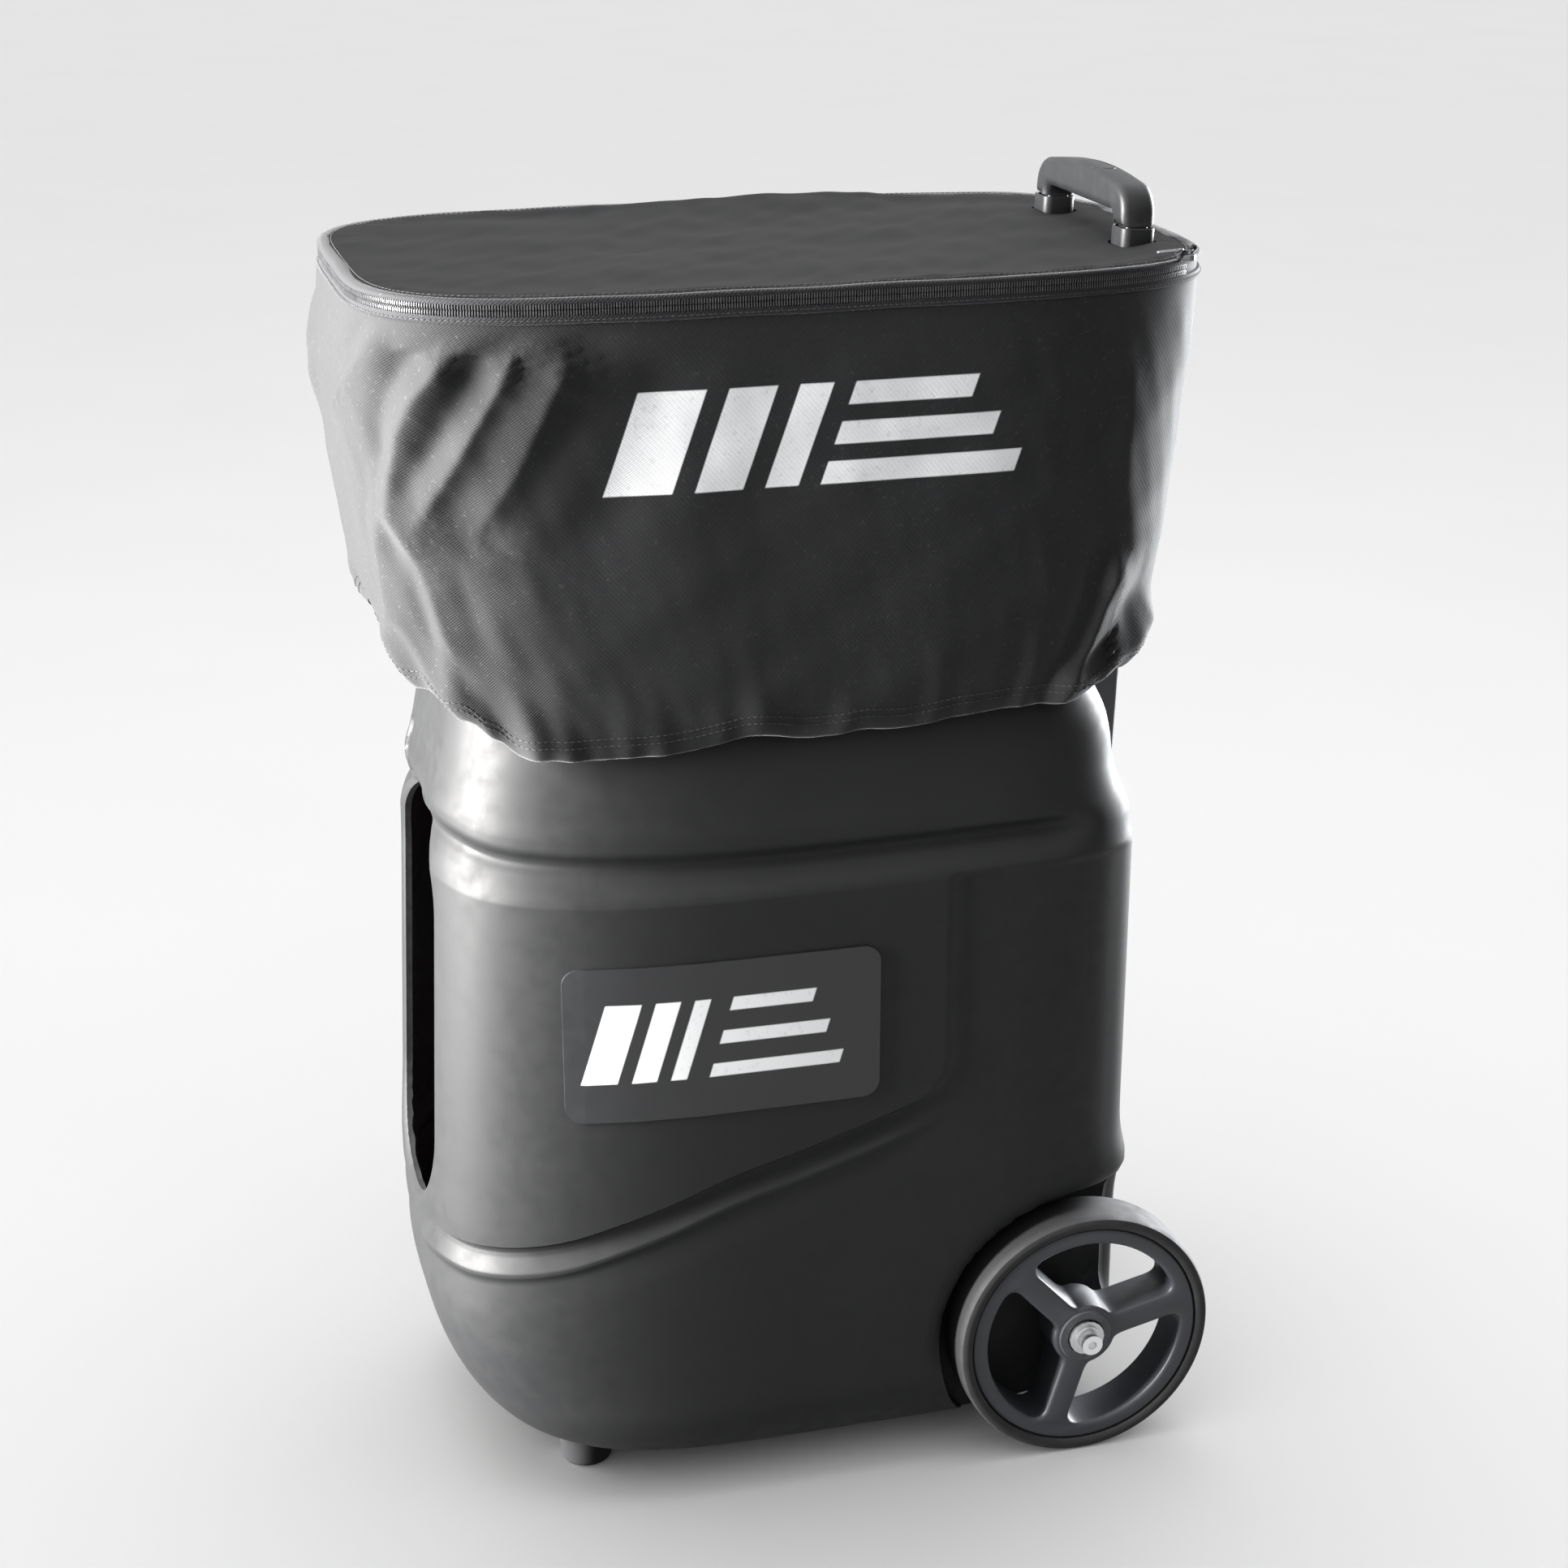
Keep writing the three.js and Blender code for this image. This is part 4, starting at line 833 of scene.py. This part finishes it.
def build_lid():
    columns = spaced_columns(238, 234, 148, (SOFT_SHARP, SOFT_SHARP), lambda x: 3.4 + 0 * x)
    radii = np.concatenate([np.linspace(0.02, 0.9, 44), np.linspace(0.915, 1, 9)])
    edge = rim_line(-1.6, LID_Z, columns)
    x, y = (radii[:, None] * edge[None, :, k] for k in (0, 1))
    middle = 1 - radii[:, None] ** 2.2
    sag = -2.6 * middle * (1 - ease(x, 120, 175))
    waves = 1.4 * ripple(x, y * 1.2, 31, 8, 60, 170) + 0.5 * ripple(x, y, 37, 10, 18, 46)
    near_rim = ease(1 - radii[:, None], 0.0, 0.12)
    around = np.degrees(columns)[None] * 4.1
    by_seam = np.exp(-(((radii[:, None] - 0.955) / 0.035) ** 2))
    pucker = 0.55 * ripple(around, 0 * around, 41, 9, 18, 60) * by_seam
    roll = 1.5 * np.exp(-(((radii[:, None] - 0.93) / 0.05) ** 2))
    z = LID_Z - 0.4 * near_rim + sag + waves * near_rim + pucker + roll
    for cx, cy, wide, deep, lift in LID_BUMPS:
        bump = np.exp(-(((x - cx) / wide) ** 2) - ((y - cy) / deep) ** 2)
        z = z + lift * bump * ease(1 - radii[:, None], 0, 0.03)
    points = np.stack([x, y, z], -1).reshape(-1, 3)
    points = np.vstack([points, [[0, 0, float(z[0].mean())]]])
    count, cols = len(points) - 1, len(columns)
    faces = grid_faces(len(radii), cols).tolist()
    faces += [[count, (j + 1) % cols, j] for j in range(cols)]
    lid = make("cover_top", points, faces, LOOK["lid"], 60, points[:, :2])
    lid.data.update()
    if sum(p.normal.z for p in lid.data.polygons) < 0:
        lid.data.flip_normals()
    thicken(lid, 1.2)
    carve(lid, *(plate("opening", [round_rect(22.8, 24.6, 5.5, (0, side * HANDLE_Y))], -30, 30, 0.01,
                       leaning_matrix()) for side in (-1, 1)))
    dress(lid, LOOK["lid"], 60)
    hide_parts("cover_lid", "cover_rear_flap")
    # the area is this mesh's own, not a cut's, so the area check can't fail here
    at_hinge(lid)
    return lid


def build_slider():
    place = Matrix.Translation((0.204, -0.1275, 0.7265)) @ Matrix.Rotation(math.radians(-38), 4, "Z")
    body = plate("zip_slider", [round_rect(10, 7, 2.4)], 0, 3.2, 0.7, place, LOOK["gunmetal"])
    hand_over(body, "base", "steel", "zipper_slider")
    lay = place @ Matrix.Translation((-0.009, 0.0, 0.0036)) @ Matrix.Rotation(math.radians(-9), 4, "Y")
    with_eye = [round_rect(15, 5, 2.2), round_rect(3.4, 2.4, 1.0, (4.4, 0))[::-1]]
    pull = plate("zip_pull", with_eye, 0, 1.2, 0.35, lay, LOOK["gunmetal"])
    hand_over(pull, "base", "steel")
    build_tape_end()


def build_tape_end():
    """The spare end of the zip's tape stands crumpled at the rear corner."""
    rows, cols = 46, 13
    u, v = np.meshgrid(np.linspace(0, 1, rows), np.linspace(-1, 1, cols), indexing="ij")
    along = 26 * u
    x = 208 + 4.2 * np.sin(5.6 * u + 0.6 * v) - 5 * u + 0.8 * v
    y = -121 + 0.42 * along * np.cos(0.9 + 3.4 * u) - 1.5 * v * np.cos(3 * u)
    z = 727 + 4.6 * np.sin(math.pi * np.clip(u * 1.15, 0, 1)) ** 0.8 + 4.2 * v * np.cos(2.2 * u + 0.5)
    z = z + 0.9 * ripple(along, 9 * v, 51, 6, 5, 14)
    x = x + 0.9 * ripple(along, 9 * v, 52, 6, 5, 14)
    points = np.stack([x, y, np.maximum(z, 726.4)], -1)
    uv = np.stack([along, 6 * v], -1)
    tape = make("zip_tape_end", points, grid_faces(rows, cols, False), LOOK["tape"], 60, uv)
    thicken(tape, 0.7)
    hand_over(tape, "base", "zipper")


# ---- the handle ----
def build_grip():
    half, leg, top, foot = 69, 16, 33.5, 11
    outline = []

    def bend(cy, cz, r, start, end):
        for a in np.radians(np.linspace(start, end, 12)):
            outline.append((cy + r * math.cos(a), cz + r * math.sin(a)))

    outline.append((-half, foot))
    outline.append((-half + leg, foot))
    bar, inner = 16, 6
    bend(-half + leg + inner, top - bar - inner, inner, 180, 90)
    bend(half - leg - inner, top - bar - inner, inner, 90, 0)
    outline.append((half - leg, foot))
    outline.append((half, foot))
    crown, corner = 3.6, 17
    bend(half - corner, top - corner, corner, 0, 78)
    for y in np.linspace(half - corner, corner - half, 17)[1:-1]:
        outline.append((y, top + crown * (1 - (y / (half - corner)) ** 2)))
    bend(corner - half, top - corner, corner, 102, 180)
    stand = Matrix.Rotation(math.pi / 2, 4, "Z") @ Matrix.Rotation(math.pi / 2, 4, "X")
    grip = plate("grip", [outline], -10, 10, 4.2, leaning_matrix() @ stand)
    well = plate("well", [round_rect(12.8, 42.8, 6)], top - 7, top + 8, 0.01, leaning_matrix())
    carve(grip, well)
    dress(grip, LOOK["grip"], 40)
    hand_over(grip, "handle_top", "grip_plastic", "handle_grip")
    button = plate("grip_button", [round_rect(12, 42, 5.6)], top - 3.6, top + 3.3, 0.9, leaning_matrix(),
                   LOOK["grip"])
    hand_over(button, "handle_release", "grip_plastic", "release_button")


def build_collars():
    """Moulded collars that end the fixed tubes and guide the sliding ones; the grip rests on them."""
    for side, word in ((-1, "left"), (1, "right")):
        middle = (0, side * (HANDLE_Y + 0.4))
        outlines = [round_rect(19.8, 21.4, 5, middle), round_rect(17.4, 18.2, 3, (0, side * HANDLE_Y))[::-1]]
        collar = plate(f"tube_collar_{word}", outlines, -3.8, 10.4, 0.4, leaning_matrix(), LOOK["grip"])
        hand_over(collar, "base", "grip_plastic")


def build_tubes():
    sizes = {"outer": ((19.6, 20.4), -480, -4, "base"), "middle": ((16.4, 17.2), -470, -1, "handle_middle"),
             "inner": ((13.2, 14), -460, 10.7, "handle_top")}
    wall = 1.2
    for name, ((width, depth), low, high, body) in sizes.items():
        for side, word in ((-1, "left"), (1, "right")):
            middle = (0, side * HANDLE_Y)
            bore = round_rect(width - 2 * wall, depth - 2 * wall, 1.5, middle)[::-1]
            outlines = [round_rect(width, depth, 2.6, middle), bore]
            tube = plate(f"{name}_tube_{word}", outlines, low, high, 0.25, leaning_matrix(), LOOK["tube"])
            hand_over(tube, body, "tube_aluminium", f"handle_{name}_tube_{word}")


# ---- wheels and feet ----
def window(start, end):
    """The opening between two spokes: parallel-sided spokes, a hub arc and round corners."""
    hub, outer, half, corner = 20, 62, 7.8, 9

    def at(r, a):
        return np.array((r * math.cos(a), r * math.sin(a)))

    def on_spoke(r, rising):
        lean = math.asin(half / r)
        return at(r, start + lean if rising else end - lean)

    def curve(p, q, r):
        return [tuple((1 - s) ** 2 * p + 2 * s * (1 - s) * q + s * s * r) for s in np.linspace(0, 1, 9)]

    def arc(r, trim):
        lean = math.asin(half / r) + trim / r
        return [tuple(at(r, a)) for a in np.linspace(start + lean, end - lean, 24)]

    far, near = arc(outer, corner), arc(hub, 3)[::-1]
    points = curve(on_spoke(outer - corner, True), on_spoke(outer, True), np.array(far[0])) + far[1:-1]
    points += curve(np.array(far[-1]), on_spoke(outer, False), on_spoke(outer - corner, False))
    points += curve(on_spoke(hub + 6, False), on_spoke(hub, False), np.array(near[0])) + near[1:-1]
    points += curve(np.array(near[-1]), on_spoke(hub, True), on_spoke(hub + 6, True))
    return points


def circle(r, sides=96):
    return [(r * math.cos(a), r * math.sin(a)) for a in np.linspace(0, 2 * math.pi, sides, endpoint=False)]


def build_wheels():
    spokes = [math.radians(a) for a in (13, 133, 253)]
    for side, word in ((-1, "left"), (1, "right")):
        centre = (WHEEL_X, 0, WHEEL_Z)
        face = Matrix.Translation(Vector(centre) * MM) @ Matrix.Rotation(math.pi / 2, 4, "X")
        ends = sorted((-side * 117, -side * 147))
        outlines = [circle(71.7)] + [window(a, b)[::-1] for a, b in
                                     zip(spokes, spokes[1:] + [spokes[0] + 2 * math.pi])]
        outlines.append(circle(11.4, 48)[::-1])
        rim = plate(f"rim_{word}", outlines, *ends, 2.4, face, LOOK["wheel"], 30)
        body = f"wheel_{word}"
        hand_over(rim, body, "wheel_plastic", f"wheel_rim_{word}")
        hub_profile = [(11.6, 114.5), (16.2, 114.5), (17, 115.3), (17, 147.2), (16.2, 148), (11.6, 148)]
        hub = lathe_ring(f"hub_{word}", [(r, side * h) for r, h in hub_profile][::side], "y", centre,
                         LOOK["wheel"], 72)
        hand_over(hub, body, "wheel_plastic")
        shoulder = [(72, 117.5), (74, 116.2), (76.5, 116), (78.7, 116.8), (79.8, 119), (80, 122),
                    (80, 142), (79.8, 145), (78.7, 147.2), (76.5, 148), (74, 147.8), (72.4, 147), (72, 145.5)]
        tyre = lathe_ring(f"tyre_band_{word}", [(r, side * h) for r, h in shoulder][::side], "y", centre,
                          LOOK["tyre"], 160)
        hand_over(tyre, body, "tyre", f"tyre_{word}")


def build_feet():
    for name, (x, y, r, low, high) in FEET.items():
        for side, word in ((-1, "left"), (1, "right")):
            profile = [(r - 5.2, low), (r - 3.4, low + 0.4), (r - 2.2, low + 1.6), (r - 1.7, low + 3.2),
                       (r - 0.2, high - 14), (r, high - 8), (r, high - 1), (r - 0.8, high)]
            foot = lathe(f"{name}_pad_{word}", profile, "z", (x, side * y, 0), LOOK["foot"], 64)
            hand_over(foot, "base", "foot_rubber", f"{name}_{word}")


def build_screws():
    """Pan-head screws that hold the base plate."""
    for k, (x, y) in enumerate([(x, y) for x in (-96, 16, 128) for y in (-44, 44)]):
        head = lathe(f"plate_screw_{k + 1}", [(0.4, 8.6), (2.6, 8.9), (3.5, 9.6), (3.6, 10.4)], "z",
                     (x, y, 0), LOOK["steel"], 24)
        hand_over(head, "base", "steel")


# ---- CAD nodes that keep their shape ----
def dress_cad():
    slots = {s["node"]: s["material_slot"] for s in frame["record"]["subparts"]}
    for name, obj in frame["nodes"].items():
        look = LOOK["steel" if name.startswith("axle_washer") else SLOT_LOOK[slots[name]]]
        obj.data.materials.clear()
        obj.data.materials.append(look)
        obj.data.polygons.foreach_set("use_smooth", [True] * len(obj.data.polygons))
        weld = obj.modifiers.new("weld", "WELD")
        weld.merge_threshold = 0.00001
        split = obj.modifiers.new("edges", "EDGE_SPLIT")
        split.split_angle = math.radians(32)


# ---- floor, camera and light ----
def build_stage():
    reach = 40000
    floor = make("floor", [(-reach, -reach, 0), (reach, -reach, 0), (reach, reach, 0), (-reach, reach, 0)],
                 [(0, 1, 2, 3)])
    n = Nodes(bpy.data.materials.new("floor_paper"))
    where = n.add("ShaderNodeTexCoord").outputs["Object"]
    tone = n.blend(n.noise(where, 3, 2), (0.80, 0.80, 0.80, 1), (0.83, 0.83, 0.83, 1))
    n.feed(n.shader.inputs["Base Color"], tone)
    n.shader.inputs["Roughness"].default_value = 0.7
    n.shader.inputs["Specular IOR Level"].default_value = 0.2
    floor.data.materials.append(n.material)
    return floor


def build_camera():
    data = bpy.data.cameras.new("camera")
    data.lens, data.sensor_width = 64.3, 36
    camera = new_object("camera", data)
    turn, pitch = math.radians(15.6), math.radians(20.4)
    ahead = Vector((math.sin(turn) * math.cos(pitch), math.cos(turn) * math.cos(pitch), -math.sin(pitch)))
    camera.location = (-0.4091, -1.5208, 0.9868)
    camera.rotation_euler = ahead.to_track_quat("-Z", "Y").to_euler()
    data.clip_start, data.clip_end = 0.05, 120
    bpy.context.scene.camera = camera


def area_light(name, place, target, size, power, color, skip=None):
    """A soft light. The pieces in the skip collection don't receive it."""
    data = bpy.data.lights.new(name, "AREA")
    data.shape, data.size, data.size_y = "RECTANGLE", *size
    data.energy, data.color = power, color
    light = new_object(name, data)
    light.location = place
    light.rotation_euler = (Vector(target) - Vector(place)).to_track_quat("-Z", "Y").to_euler()
    light.visible_camera = False
    if skip:
        light.light_linking.receiver_collection = skip


def build_world():
    """A pale studio: bright overhead and behind, dim towards the front."""
    world = bpy.data.worlds.new("studio")
    bpy.context.scene.world = world
    n = Nodes(world)
    direction = n.add("ShaderNodeTexCoord").outputs["Generated"]
    facing = n.add("ShaderNodeSeparateXYZ", {"Vector": direction}).outputs
    above = n.math("MULTIPLY", n.math("MAXIMUM", facing["Z"], 0.0), 1.15)
    behind = n.math("MULTIPLY", n.math("MAXIMUM", facing["Y"], 0.0), 0.35)
    glow = n.math("ADD", n.math("ADD", above, behind), 0.11)
    seen = n.add("ShaderNodeLightPath").outputs["Is Camera Ray"]
    strength = n.add("ShaderNodeMix", {0: seen, 2: glow, 3: 0.83}, data_type="FLOAT").outputs[0]
    background = n.tree.nodes["Background"]
    background.inputs["Color"].default_value = (1, 1, 1, 1)
    n.feed(background.inputs["Strength"], strength)


def build_light(*unlit):
    """Soft light from above, and a tall panel at each side that is screened from the unlit pieces."""
    screened = bpy.data.collections.new("screened")
    for index, obj in enumerate(unlit):
        screened.objects.link(obj)
        screened.collection_objects[index].light_linking.link_state = "EXCLUDE"
    build_world()
    area_light("overhead", (0, 0.5, 2.8), (0, 0, 0.3), (2.4, 2.4), 22, (1, 1, 1))
    area_light("left", (-1.9, -0.02, 0.75), (0, 0, 0.42), (0.8, 1.7), 720, (1.0, 0.985, 0.965), screened)
    area_light("right", (1.8, 0.75, 0.75), (0, 0, 0.42), (0.9, 1.6), 240, (0.955, 0.975, 1.0), screened)
    bpy.context.scene.view_settings.view_transform = "Standard"


studio_floor = build_stage()
build_camera()
dress_cad()
build_body()
build_tub()
build_skirt()
build_zip()
top_cover = build_lid()
build_slider()
build_grip()
build_collars()
build_tubes()
build_wheels()
build_feet()
build_screws()
build_light(studio_floor, top_cover)
